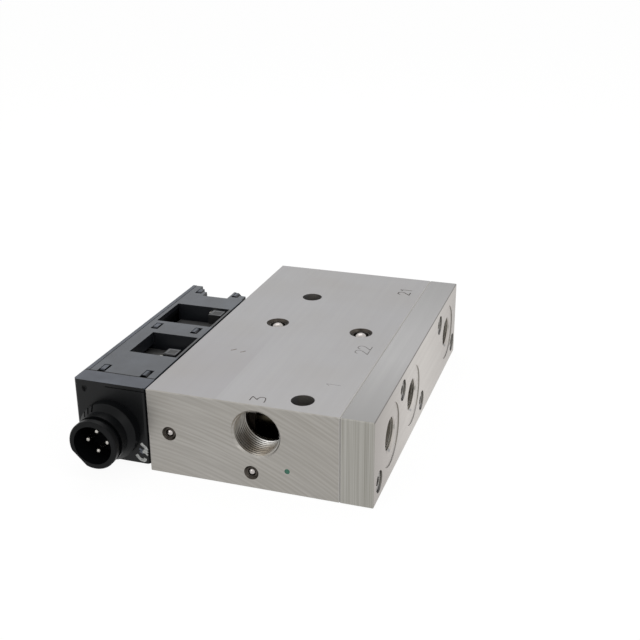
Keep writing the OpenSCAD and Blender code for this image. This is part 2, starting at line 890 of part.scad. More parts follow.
module housing_hooks() {
    for (i = [0 : 2]) {
        y = slot_rows[i] + hook_front_gap;
        foot = i == 2 ? lug_top - 2 : floor_z - eps;
        left_hook(y, foot);
        right_hook(y, foot);
    }
}

// Plan of a rear lug: a finger on the left, a shelf for the hook, and a short stub on the right
module lug_plan(x, w, reach, slot_x) {
    translate([x, 0])
        square([slot_x - x, reach]);
    translate([slot_x - eps, 0])
        square([slot_w + eps, slot_rows[2] + slot_l - house_back]);
    translate([x, 0])
        square([w, lug_step_reach]);
}

// Rear lug with a sloping underside
module rear_lug(x, w, reach, slot_x) {
    far = max(reach, slot_rows[2] + slot_l - house_back) + eps;
    intersection() {
        translate([0, house_back - eps, lug_top - lug_drop - lug_slope])
            linear_extrude(lug_drop + lug_slope)
                lug_plan(x, w, reach, slot_x);
        translate([x - 1, house_back - eps, 0])
            rotate([90, 0, 90])
                linear_extrude(w + 2)
                    polygon([[0, lug_top - lug_drop - lug_slope], [far, lug_top - lug_drop],
                             [far, lug_top], [0, lug_top]]);
    }
}

module solenoid_housing() {
    inner_w = housing_w - gasket_t - 2 * wall;
    color([0.10, 0.10, 0.11])
        place()
            difference() {
                union() {
                    difference() {
                        union() {
                            translate([house_left, housing_y, housing_z])
                                linear_extrude(housing_h)
                                    round_rect(housing_w - gasket_t, housing_l, corner_r);
                            rear_lug(house_left, left_lug_w, lug_reach, slot_columns[0]);
                            rear_lug(right_lug_x, right_lug_w, right_lug_reach, slot_columns[1]);
                            // Outer wall beside the left lug's finger
                            translate([house_left, house_back - corner_r - 1, lid_z - lug_drop])
                                cube([wall, lug_reach + corner_r + 1, lug_drop + lid_t]);
                            connector_solid();
                        }
                        // Inside of the tub
                        translate([house_left + wall, housing_y + wall, floor_z])
                            cube([inner_w, housing_l - 2 * wall, lid_z - lid_t - floor_z]);
                        // Opening for the lid
                        translate([house_left + wall, housing_y + deck_y, lid_z - lid_t - eps])
                            cube([housing_w, housing_l - deck_y, lid_t + eps]);
                        translate([house_left + wall, housing_y + deck_y, lid_z])
                            cube([housing_w, housing_l + lug_reach, lid_t + 1]);
                    }
                    housing_hooks();
                    housing_pillars();
                    lid_ledges();
                }
                connector_socket();
                cone_slits();
                front_groove();
                housing_holes();
            }
}

// Ledges and the upper part of the walls that carry the lid
module lid_ledges() {
    ledge_top = lid_z - 0.05;
    ledge_h = lid_t;
    for (x = [house_left + wall - eps, house_right - wall])
        translate([x, housing_y + deck_y, ledge_top - ledge_h])
            cube([wall, housing_l - deck_y - wall, ledge_h]);
    translate([house_left + wall, house_back - wall, ledge_top - ledge_h])
        cube([housing_w - gasket_t - wall, wall, ledge_h]);
}

module housing_pillars() {
    for (p = pillars)
        along_x(house_left + wall - eps, p[0], p[1])
            cylinder(d = pillar_d, h = housing_w - gasket_t - 2 * wall + 2 * eps);
}

// Groove on the housing's front, under the deck
module front_groove() {
    translate([-groove_x, housing_y - 1, house_top - groove_drop])
        cube([groove_x, 1 + groove_deep, groove_h]);
}

module connector_socket() {
    at_connector(rim_y)
        translate([0, 0, -eps])
            cylinder(d = socket_d, h = socket_deep);
    for (a = pin_angles)
        translate([connector_at[0] + pin_circle_r * cos(a), socket_floor_y - 1,
                   connector_at[1] + pin_circle_r * sin(a)])
            rotate([-90, 0, 0])
                cylinder(d = pin_d + 2 * seat_clear, h = housing_y + wall - socket_floor_y + 3);
}

// Screw holes with their head recesses, and the openings for the guide tubes
module housing_holes() {
    for (p = pillars) {
        along_x(house_left - 1, p[0], p[1])
            cylinder(d = housing_screw_d + 0.6, h = housing_w + 2);
        along_x(house_left - 1, p[0], p[1])
            cylinder(d = pillar_d - 0.8, h = head_recess + 1);
    }
    for (y = solenoid_ys)
        along_x(house_right - wall - 1, y, solenoid_z)
            cylinder(r = tube_flange_r + 0.2, h = wall + 2);
}

// One ear of the lid: finger and stub on both sides of the rear hook's slot
module lid_ear(x, w, reach, slot_x) {
    translate([x, house_back - eps])
        square([slot_x - x, reach - lid_gap]);
    translate([x, house_back - eps])
        square([w, lug_step_reach]);
}

module window_1() {
    translate([-window_1_x, window_1_y])
        square([window_1_x - gasket_t - window_rail, window_1_l]);
}

module window_2() {
    translate([-window_2_x, window_2_y])
        square([window_2_x - gasket_t - window_rail, window_2_l]);
}

module lid_outline() {
    difference() {
        union() {
            translate([lid_left, lid_front])
                square([lid_right - lid_left, house_back - lid_front]);
            lid_ear(lid_left, house_left + left_lug_w - lid_left, lug_reach, slot_columns[0]);
            lid_ear(right_lug_x, right_lug_w - lid_gap, right_lug_reach, slot_columns[1]);
        }
        window_1();
        window_2();
        for (x = slot_columns, i = [0 : 2])
            translate([x, slot_rows[i] - (i == 0 ? 1 : 0)])
                square([slot_w, slot_l + (i == 0 ? 1 : 0)]);
    }
}

// Skirts that hang from the windows' edges and hide the inside of the tub
module window_skirts() {
    high = lid_z - skirt_low_z + eps;
    right = house_right - wall - lid_gap;
    translate([-window_1_x - skirt_t, window_1_y + window_1_l, skirt_low_z])
        cube([window_1_x + skirt_t + right, skirt_t, high]);
    translate([-window_1_x - skirt_t, window_1_y - skirt_t, yoke_top + 1])
        cube([skirt_t, window_1_l + 2 * skirt_t, lid_z - yoke_top - 1 + eps]);
    translate([-window_1_x - skirt_t, window_1_y - skirt_t, skirt_low_z])
        cube([window_1_x + skirt_t + skirt_end_x, skirt_t, high]);
    translate([-window_2_x, window_2_y - skirt_t, skirt_low_z])
        cube([window_2_x + right, skirt_t, high]);
    translate([-window_2_x, window_2_y + window_2_l, skirt_low_z])
        cube([window_2_x + skirt_end_x, skirt_t, high]);
}

module housing_lid() {
    color([0.13, 0.13, 0.14])
        place() {
            translate([0, 0, lid_z])
                linear_extrude(lid_t)
                    lid_outline();
            window_skirts();
        }
}

// Outline of the gasket's rim at a distance inside the housing's edge, seen from the block
module gasket_outline(inset, r) {
    translate([housing_y + inset, housing_z + inset])
        round_rect(housing_l - 2 * inset, housing_h - 2 * inset, r);
}

// Tabs of the gasket round the housing screws; a bar joins each lower one to the rim
module gasket_tabs() {
    for (p = pillars)
        translate(p)
            circle(d = pillar_d);
    for (y = [pillar_front_y, pillar_rear_y])
        translate([y - pillar_d / 2, housing_z + gasket_inset])
            square([pillar_d, pillar_low_z - housing_z - gasket_inset]);
}

module housing_gasket() {
    color([0.16, 0.16, 0.17])
        place()
            translate([-gasket_t, 0, 0])
                rotate([90, 0, 90])
                    linear_extrude(gasket_t)
                        difference() {
                            gasket_outline(gasket_inset, 2);
                            difference() {
                                gasket_outline(gasket_inset + gasket_w, 1);
                                gasket_tabs();
                            }
                            for (p = pillars)
                                translate(p)
                                    circle(d = housing_screw_d + 0.6);
                        }
}

module housing_screws() {
    seat_x = house_left + head_recess;
    color([0.60, 0.60, 0.62])
        place()
            for (p = pillars) {
                along_x(seat_x, p[0], p[1])
                    cylinder(d = housing_screw_d, h = -seat_x + housing_screw_in);
                along_x(seat_x - head_h, p[0], p[1])
                    difference() {
                        cylinder(d = pillar_d - 1.2, h = head_h);
                        translate([0, 0, -eps])
                            cylinder(d = housing_screw_d * 0.86, h = head_h / 2, $fn = 6);
                    }
            }
}

module contact_pins() {
    pin_r = pin_d / 2;
    tip_y = rim_y + pin_tip_back;
    color([0.80, 0.79, 0.76])
        place()
            for (i = [0 : 3])
                translate([connector_at[0] + pin_circle_r * cos(pin_angles[i]), tip_y,
                           connector_at[1] + pin_circle_r * sin(pin_angles[i])])
                    rotate([-90, 0, 0]) {
                        translate([0, 0, pin_r])
                            cylinder(r = pin_r, h = pin_end_y[i] - tip_y - pin_r);
                        translate([0, 0, pin_r])
                            sphere(pin_r);
                    }
}

// Stamped track from a contact pin down the front wall, along the floor and up to a coil,
// where an arm at its top reaches the coil's terminal block
module track(i, coil_y, rise_x, arm_y, top_z) {
    run_x = track_run_x[i];
    pin_x = connector_at[0] + pin_circle_r * cos(pin_angles[i]);
    pin_z = connector_at[1] + pin_circle_r * sin(pin_angles[i]);
    low_z = floor_z + 0.3 + (i % 2) * 1.4;
    y0 = pin_end_y[i];
    translate([pin_x - blade_w / 2, y0, low_z])
        cube([blade_w, blade_t, pin_z + blade_w / 2 - low_z]);
    translate([min(pin_x, run_x) - blade_w / 2, y0, low_z])
        cube([abs(pin_x - run_x) + blade_w, blade_w, blade_t]);
    translate([run_x - blade_w / 2, y0, low_z])
        cube([blade_w, coil_y - y0 + blade_w / 2, blade_t]);
    translate([min(run_x, rise_x) - blade_w / 2, coil_y - blade_w / 2, low_z])
        cube([abs(rise_x - run_x) + blade_w, blade_w, blade_t]);
    translate([rise_x - blade_w / 2, coil_y - blade_t / 2, low_z])
        cube([blade_w, blade_t, top_z - low_z]);
    translate([rise_x - blade_w / 2, min(coil_y, arm_y) - blade_t / 2, top_z - blade_t])
        cube([blade_w, abs(arm_y - coil_y) + blade_t, blade_t]);
}

module lead_frame() {
    head_z = terminal_top - 1.2;
    web_z = head_low_z - 1.2;
    color([0.72, 0.70, 0.66])
        place() {
            track(2, front_rise_y, outer_rise_x, solenoid_1_y - block_side_y + 0.6, head_z);
            track(0, front_rise_y - track_step, inner_rise_x,
                  solenoid_1_y - block_side_y - 0.8, web_z);
            track(1, rear_rise_y, outer_rise_x, solenoid_2_y + block_side_y - 0.6, head_z);
            track(3, rear_rise_y + track_step - 0.3, inner_rise_x,
                  solenoid_2_y + block_side_y + 0.8, web_z);
        }
}

module bobbin(i) {
    tube_out = tube_r + seat_clear + bobbin_wall;
    head_x = coil_right - terminal_w + terminal_reach;
    color([0.12, 0.12, 0.12])
        place()
            difference() {
                union() {
                    along_x(coil_left, solenoid_ys[i], solenoid_z)
                        cylinder(r = tube_out, h = coil_right - coil_left);
                    for (x = [coil_left, coil_right - flange_t])
                        along_x(x, solenoid_ys[i], solenoid_z)
                            cylinder(d = flange_d, h = flange_t);
                    // Web and head of the terminal block
                    translate([0, solenoid_ys[i], 0])
                        mirror([0, coil_side[i] < 0 ? 1 : 0, 0]) {
                            translate([coil_right - flange_t, web_inner_y, solenoid_z])
                                cube([flange_t, web_t, terminal_top - solenoid_z]);
                            translate([head_x, block_side_y - terminal_l, head_low_z])
                                cube([terminal_w, terminal_l, terminal_top - head_low_z]);
                        }
                }
                along_x(coil_left - 1, solenoid_ys[i], solenoid_z)
                    cylinder(r = tube_r + seat_clear, h = coil_right - coil_left + 2);
            }
}

module winding(i) {
    color([0.62, 0.32, 0.14])
        place()
            along_x(coil_left + flange_t + 0.1, solenoid_ys[i], solenoid_z)
                difference() {
                    cylinder(d = winding_d, h = coil_right - coil_left - 2 * flange_t - 0.2);
                    translate([0, 0, -1])
                        cylinder(r = tube_r + 2 * seat_clear + bobbin_wall, h = yoke_l + 2);
                }
}

module yoke(i) {
    color([0.58, 0.58, 0.56])
        place()
            difference() {
                translate([yoke_left, solenoid_ys[i] - yoke_w / 2, solenoid_z - yoke_h / 2])
                    cube([yoke_l, yoke_w, yoke_h]);
                translate([yoke_left + yoke_t, solenoid_ys[i] - yoke_w / 2 - 1,
                           solenoid_z - yoke_h / 2 + yoke_t])
                    cube([yoke_l - 2 * yoke_t, yoke_w + 2, yoke_h - 2 * yoke_t]);
                along_x(yoke_right - yoke_t - 1, solenoid_ys[i], solenoid_z)
                    cylinder(r = tube_r + seat_clear, h = yoke_t + 2);
                along_x(yoke_left - 1, solenoid_ys[i], solenoid_z)
                    cylinder(r = stud_r + seat_clear, h = yoke_t + 2);
            }
}

module fixed_core(i) {
    color([0.50, 0.50, 0.50])
        place() {
            along_x(tube_left, solenoid_ys[i], solenoid_z)
                cylinder(r = armature_r, h = core_right - tube_left);
            along_x(yoke_left - nut_t - 0.6, solenoid_ys[i], solenoid_z)
                cylinder(r = stud_r, h = nut_t + 0.7 + yoke_t);
        }
}

module core_nuts() {
    color([0.60, 0.60, 0.60])
        place()
            for (y = solenoid_ys)
                along_x(yoke_left - nut_t - 0.05, y, solenoid_z)
                    difference() {
                        cylinder(d = nut_d, h = nut_t, $fn = 6);
                        translate([0, 0, -1])
                            cylinder(r = stud_r + seat_clear, h = nut_t + 2);
                    }
}

module guide_tube(i) {
    color([0.68, 0.66, 0.60])
        place()
            difference() {
                union() {
                    along_x(tube_left, solenoid_ys[i], solenoid_z)
                        cylinder(r = tube_r, h = -tube_left - 0.05);
                    along_x(-0.05 - tube_flange_t, solenoid_ys[i], solenoid_z)
                        cylinder(r = tube_flange_r, h = tube_flange_t);
                }
                along_x(tube_left - 1, solenoid_ys[i], solenoid_z)
                    cylinder(r = tube_r - tube_wall, h = -tube_left + 2);
            }
}

module tube_seals() {
    color([0.10, 0.10, 0.10])
        place()
            for (y = solenoid_ys)
                ring_x(-tube_flange_t - 0.75, y, solenoid_z, tube_r + 0.75, 0.65);
}

module pilot_nozzles() {
    color([0.75, 0.62, 0.32])
        place()
            for (y = solenoid_ys)
                along_x(-nozzle_lip, y, solenoid_z)
                    difference() {
                        union() {
                            translate([0, 0, nozzle_lip])
                                cylinder(d = nozzle_d, h = nozzle_in - seat_clear);
                            cylinder(d1 = nozzle_bore + 1, d2 = nozzle_bore + 2.2, h = nozzle_lip);
                        }
                        translate([0, 0, -1])
                            cylinder(d = nozzle_bore, h = nozzle_lip + 6);
                    }
}

module armature(i) {
    color([0.56, 0.56, 0.57])
        place()
            along_x(armature_left, solenoid_ys[i], solenoid_z)
                difference() {
                    cylinder(r = armature_r, h = armature_l - 0.4);
                    translate([0, 0, -1])
                        cylinder(d = armature_spring_d + armature_wire + 0.6, h = spring_pocket + 1);
                    translate([0, 0, armature_l - armature_seal_t])
                        cylinder(r = armature_r - 1.2, h = armature_seal_t + 1);
                }
}

module armature_seal(i) {
    color([0.09, 0.09, 0.10])
        place()
            along_x(armature_right, solenoid_ys[i], solenoid_z)
                cylinder(r = armature_r - 1.2 - seat_clear, h = armature_seal_t);
}

module armature_spring(i) {
    gap = 0.05;
    color([0.70, 0.70, 0.72])
        place()
            along_x(core_right + gap, solenoid_ys[i], solenoid_z)
                coil_spring(armature_spring_d, armature_wire,
                            armature_left + spring_pocket - core_right - 2 * gap, armature_turns);
}

manifold_block();
end_plate();
end_plate_screws();
port_seals();
large_plug_sleeves();
large_plug_balls();
small_plug_sleeves();
small_plug_balls();
spring_washers();
spool(0);  // spool_1
spool(1);  // spool_22
spool(2);  // spool_21
spool_seals(0);  // spool_seals_1
spool_seals(1);  // spool_seals_22
spool_seals(2);  // spool_seals_21
spool_spring(0);  // spool_spring_1
spool_spring(1);  // spool_spring_22
spool_spring(2);  // spool_spring_21
solenoid_housing();
housing_lid();
housing_gasket();
housing_screws();
contact_pins();
lead_frame();
bobbin(0);  // bobbin_1
bobbin(1);  // bobbin_2
winding(0);  // winding_1
winding(1);  // winding_2
yoke(0);  // yoke_1
yoke(1);  // yoke_2
fixed_core(0);  // fixed_core_1
fixed_core(1);  // fixed_core_2
core_nuts();
guide_tube(0);  // guide_tube_1
guide_tube(1);  // guide_tube_2
tube_seals();
pilot_nozzles();
armature(0);  // armature_1
armature(1);  // armature_2
armature_seal(0);  // armature_seal_1
armature_seal(1);  // armature_seal_2
armature_spring(0);  // armature_spring_1
armature_spring(1);  // armature_spring_2
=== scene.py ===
import json
import math
import bmesh
import bpy
from mathutils import Euler, Matrix, Vector


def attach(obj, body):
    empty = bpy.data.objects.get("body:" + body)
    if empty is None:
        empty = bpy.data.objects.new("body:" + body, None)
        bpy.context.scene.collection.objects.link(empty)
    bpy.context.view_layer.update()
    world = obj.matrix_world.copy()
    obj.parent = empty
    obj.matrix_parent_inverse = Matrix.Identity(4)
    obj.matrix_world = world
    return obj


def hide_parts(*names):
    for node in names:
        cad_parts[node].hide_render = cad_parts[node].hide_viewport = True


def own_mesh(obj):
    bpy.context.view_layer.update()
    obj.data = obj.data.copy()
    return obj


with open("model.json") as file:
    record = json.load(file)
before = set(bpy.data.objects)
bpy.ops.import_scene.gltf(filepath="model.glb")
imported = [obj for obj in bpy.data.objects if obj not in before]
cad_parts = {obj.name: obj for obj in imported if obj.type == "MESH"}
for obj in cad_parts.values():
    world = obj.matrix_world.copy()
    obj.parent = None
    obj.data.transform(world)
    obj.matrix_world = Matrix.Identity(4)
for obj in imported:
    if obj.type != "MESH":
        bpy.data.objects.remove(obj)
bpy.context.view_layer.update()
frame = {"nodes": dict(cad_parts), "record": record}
print("frame loaded:", len(frame["nodes"]), "nodes")

# The metal body's size in millimetres. The places below are in millimetres too, unless they are
# marked as metres, and count from the body's housing side, its front face and its underside
metalBody = {"width": 102, "depth": 170.4, "height": 40}


def at(x, y, z):  # such a place as a point in the frame, in metres
    return Vector(((x - metalBody["width"] / 2) / 1000, (y - metalBody["depth"] / 2) / 1000, z / 1000))


def linear(hexColour):
    channels = [int(hexColour[i:i + 2], 16) / 255 for i in (1, 3, 5)]
    return [c / 12.92 if c <= 0.04045 else ((c + 0.055) / 1.055) ** 2.4 for c in channels] + [1]


# Camera: the photograph's own viewpoint, found from the block's corners
cameraSettings = {
    "place": (191.41, -339.40, 227.44),
    "turn": (67.824, 0.219, 18.213),
    "lens": 55.78,
    "sensor": 36,
    "clipStart": 0.01,  # metres
}
camera = bpy.data.objects.new("camera", bpy.data.cameras.new("camera"))
camera.location = at(*cameraSettings["place"])
camera.rotation_euler = Euler([math.radians(a) for a in cameraSettings["turn"]], "XYZ")
camera.data.lens = cameraSettings["lens"]
camera.data.sensor_width = cameraSettings["sensor"]
camera.data.clip_start = cameraSettings["clipStart"]
bpy.context.collection.objects.link(camera)
bpy.context.scene.camera = camera


# Materials

def addNode(tree, kind, settings=None, links=None):
    # A node with its settings and links. A Mix node has its share at socket 0, two numbers at 2
    # and 3, and two colours at 6 and 7
    made = tree.nodes.new("ShaderNode" + kind)
    for key, value in (settings or {}).items():
        if key == "stops":  # colour ramp, as position and hex colour
            marks = made.color_ramp.elements
            while len(marks) < len(value):
                marks.new(0.5)
            for mark, (position, hexColour) in zip(marks, value):
                mark.position = position
                mark.color = linear(hexColour)
        elif isinstance(key, int) or key in made.inputs:
            made.inputs[key].default_value = value
        else:
            setattr(made, key, value)
    for key, source in (links or {}).items():
        if isinstance(source, bpy.types.Node):
            source = next(output for output in source.outputs if output.enabled)
        tree.links.new(source, made.inputs[key])
    return made


def startMaterial(name, settings):
    made = bpy.data.materials.new(name)
    made.use_nodes = True
    tree = made.node_tree
    shader = tree.nodes["Principled BSDF"]
    for key, value in settings.items():
        shader.inputs[key].default_value = value
    return made, tree, shader, addNode(tree, "TexCoord").outputs["Object"]


squareOn = 0.7  # a face whose normal has more than this share along an axis looks along it


def milledBlock():
    # Face-milled aluminium. On the front the cutter leaves feed lines that run in wide arcs, drawn
    # 1.1 mm wide so that they show, with a regular step every 2 mm. The top is nearly smooth and a
    # touch darker left of one pass edge, and the whole metal is a dull warm grey
    facts = {
        "cutterCentre": (-21.5, 0, -155.0),
        "feedPitch": 1.1, "broadPitch": 3.4, "stepPitch": 2.0,
        "feedAlong": 5.5, "broadAlong": 3.5,  # cells per radian along an arc
        "broadShare": 0.22, "stepShare": 0.38, "stepDrift": 7.0, "stepRange": (0.38, 0.62),
        "frontTones": [(0.34, "#95928c"), (0.46, "#9b9893"), (0.54, "#a29f9a"), (0.66, "#aaa7a2")],
        "topGrain": (2.6, 83.33, 16.67),
        "topTones": [(0.25, "#9d9c9d"), (0.55, "#9f9e9f"), (0.80, "#a1a0a0")],
        "passEdge": 32.5, "passSoftness": 0.3, "passFades": (84, 40), "passShare": 0.5,
        "passTone": "#959395",
        "cloud": 38.46, "cloudShare": 0.22,
        "valveRows": (27.5, 67.5, 146.7), "rowHeight": 20.5, "boreReach": 12.3, "boreFrom": 3,
        "jointFrom": 86.98,
        "lineDepth": 0.01,
    }
    made, tree, shader, place = startMaterial("milledAluminium", {"Metallic": 1.0, "Roughness": 0.42})
    x, y = addNode(tree, "SeparateXYZ", None, {0: place}).outputs[:2]

    # Arcs of the front, as distance from the cutter's centre and angle round it
    centre = at(*facts["cutterCentre"])
    fromCentre = addNode(tree, "VectorMath", {"operation": "SUBTRACT", 1: centre}, {0: place})
    spoke = addNode(tree, "VectorMath", {"operation": "MULTIPLY", 1: (1, 0, 1)}, {0: fromCentre})
    reach = addNode(tree, "VectorMath", {"operation": "LENGTH"}, {0: spoke})
    parts = addNode(tree, "SeparateXYZ", None, {0: spoke})
    turn = addNode(tree, "Math", {"operation": "ARCTAN2"}, {0: parts.outputs[0], 1: parts.outputs[2]})
    arc = addNode(tree, "CombineXYZ", None, {0: reach, 1: turn})
    feedScale = (1000 / facts["feedPitch"], facts["feedAlong"], 1)
    feedPlace = addNode(tree, "Mapping", {"Scale": feedScale}, {"Vector": arc})
    feed = addNode(tree, "TexNoise", {"Scale": 1.0, "Detail": 4.0, "Roughness": 0.68}, {"Vector": feedPlace})
    broadScale = (1000 / facts["broadPitch"], facts["broadAlong"], 1)
    broadPlace = addNode(tree, "Mapping", {"Scale": broadScale}, {"Vector": arc})
    broad = addNode(tree, "TexNoise", {"Scale": 1.0, "Detail": 1.0}, {"Vector": broadPlace})
    lines = addNode(tree, "Mix", {0: facts["broadShare"]}, {2: feed, 3: broad})
    turnsPerMetre = 2 * math.pi * 1000 / facts["stepPitch"]
    turns = addNode(tree, "Math", {"operation": "MULTIPLY", 1: turnsPerMetre}, {0: reach})
    drift = addNode(tree, "Math", {"operation": "MULTIPLY_ADD", 1: facts["stepDrift"]}, {0: broad, 2: turns})
    wave = addNode(tree, "Math", {"operation": "SINE"}, {0: drift})
    lowest, highest = facts["stepRange"]
    steps = addNode(tree, "MapRange", {"From Min": -1.0, "To Min": lowest, "To Max": highest},
                    {"Value": wave})
    lines = addNode(tree, "Mix", {0: facts["stepShare"]}, {2: lines, 3: steps})
    frontColour = addNode(tree, "ValToRGB", {"stops": facts["frontTones"]}, {"Fac": lines})

    # The top, darker left of the pass edge, which fades out towards the back
    topScale = [1000 / size for size in facts["topGrain"]]
    along = addNode(tree, "Mapping", {"Scale": topScale}, {"Vector": place})
    topLines = addNode(tree, "TexNoise", {"Scale": 1.0, "Detail": 3.0, "Roughness": 0.5}, {"Vector": along})
    topColour = addNode(tree, "ValToRGB", {"stops": facts["topTones"]}, {"Fac": topLines})
    edge, softness = at(facts["passEdge"], 0, 0).x, facts["passSoftness"] / 1000
    leftOfEdge = addNode(tree, "MapRange", {
        "From Min": edge + softness, "From Max": edge - softness, "To Max": facts["passShare"]
    }, {"Value": x})
    fadeStart, fadeEnd = [at(0, spot, 0).y for spot in facts["passFades"]]
    fades = addNode(tree, "MapRange", {"From Min": fadeStart, "From Max": fadeEnd}, {"Value": y})
    passShade = addNode(tree, "Math", {"operation": "MULTIPLY"}, {0: leftOfEdge, 1: fades})
    topColour = addNode(tree, "Mix", {"data_type": "RGBA", 7: linear(facts["passTone"])},
                        {0: passShade, 6: topColour})

    facing = addNode(tree, "SeparateXYZ", None, {0: addNode(tree, "NewGeometry").outputs["Normal"]})
    level = addNode(tree, "Math", {"operation": "ABSOLUTE"}, {0: facing.outputs[1]})
    isFront = addNode(tree, "Math", {"operation": "GREATER_THAN", 1: squareOn}, {0: level})
    colour = addNode(tree, "Mix", {"data_type": "RGBA"}, {0: isFront, 6: topColour, 7: frontColour})

    # Tints on top: faint brown clouds, painted brown shade in the valve bores, and a painted highlight
    # that brightens the broken edge at the joint to the end plate
    cloud = addNode(tree, "TexNoise", {"Scale": 1000 / facts["cloud"], "Detail": 3.0}, {"Vector": place})
    tints = [(addNode(tree, "MapRange", {"From Min": 0.4, "From Max": 0.8, "To Max": facts["cloudShare"]},
                      {"Value": cloud}), "#918b80")]
    notFace = addNode(tree, "Math", {"operation": "GREATER_THAN", 1: at(facts["boreFrom"], 0, 0).x}, {0: x})
    # Painted shade: dark brown on the walls of each valve bore, away from the housing-side face
    for row in facts["valveRows"]:
        axis = at(0, row, facts["rowHeight"])
        fromAxis = addNode(tree, "VectorMath", {"operation": "SUBTRACT", 1: axis}, {0: place})
        spoke = addNode(tree, "VectorMath", {"operation": "MULTIPLY", 1: (0, 1, 1)}, {0: fromAxis})
        reach = addNode(tree, "VectorMath", {"operation": "LENGTH"}, {0: spoke})
        near = addNode(tree, "Math", {"operation": "LESS_THAN", 1: facts["boreReach"] / 1000}, {0: reach})
        tints.append((addNode(tree, "Math", {"operation": "MULTIPLY"}, {0: near, 1: notFace}), "#35302a"))
    # Painted highlight: the broken edge at the joint to the end plate is made lighter
    jointFrom = at(facts["jointFrom"], 0, 0).x
    tints.append((addNode(tree, "Math", {"operation": "GREATER_THAN", 1: jointFrom}, {0: x}), "#b4b2af"))
    for share, tone in tints:
        colour = addNode(tree, "Mix", {"data_type": "RGBA", 7: linear(tone)}, {0: share, 6: colour})
    tree.links.new(colour.outputs[2], shader.inputs["Base Color"])
    height = addNode(tree, "Mix", None, {0: isFront, 2: topLines, 3: lines})
    relief = addNode(tree, "Bump", {"Distance": facts["lineDepth"] / 1000}, {"Height": height})
    tree.links.new(relief.outputs[0], shader.inputs["Normal"])
    return made


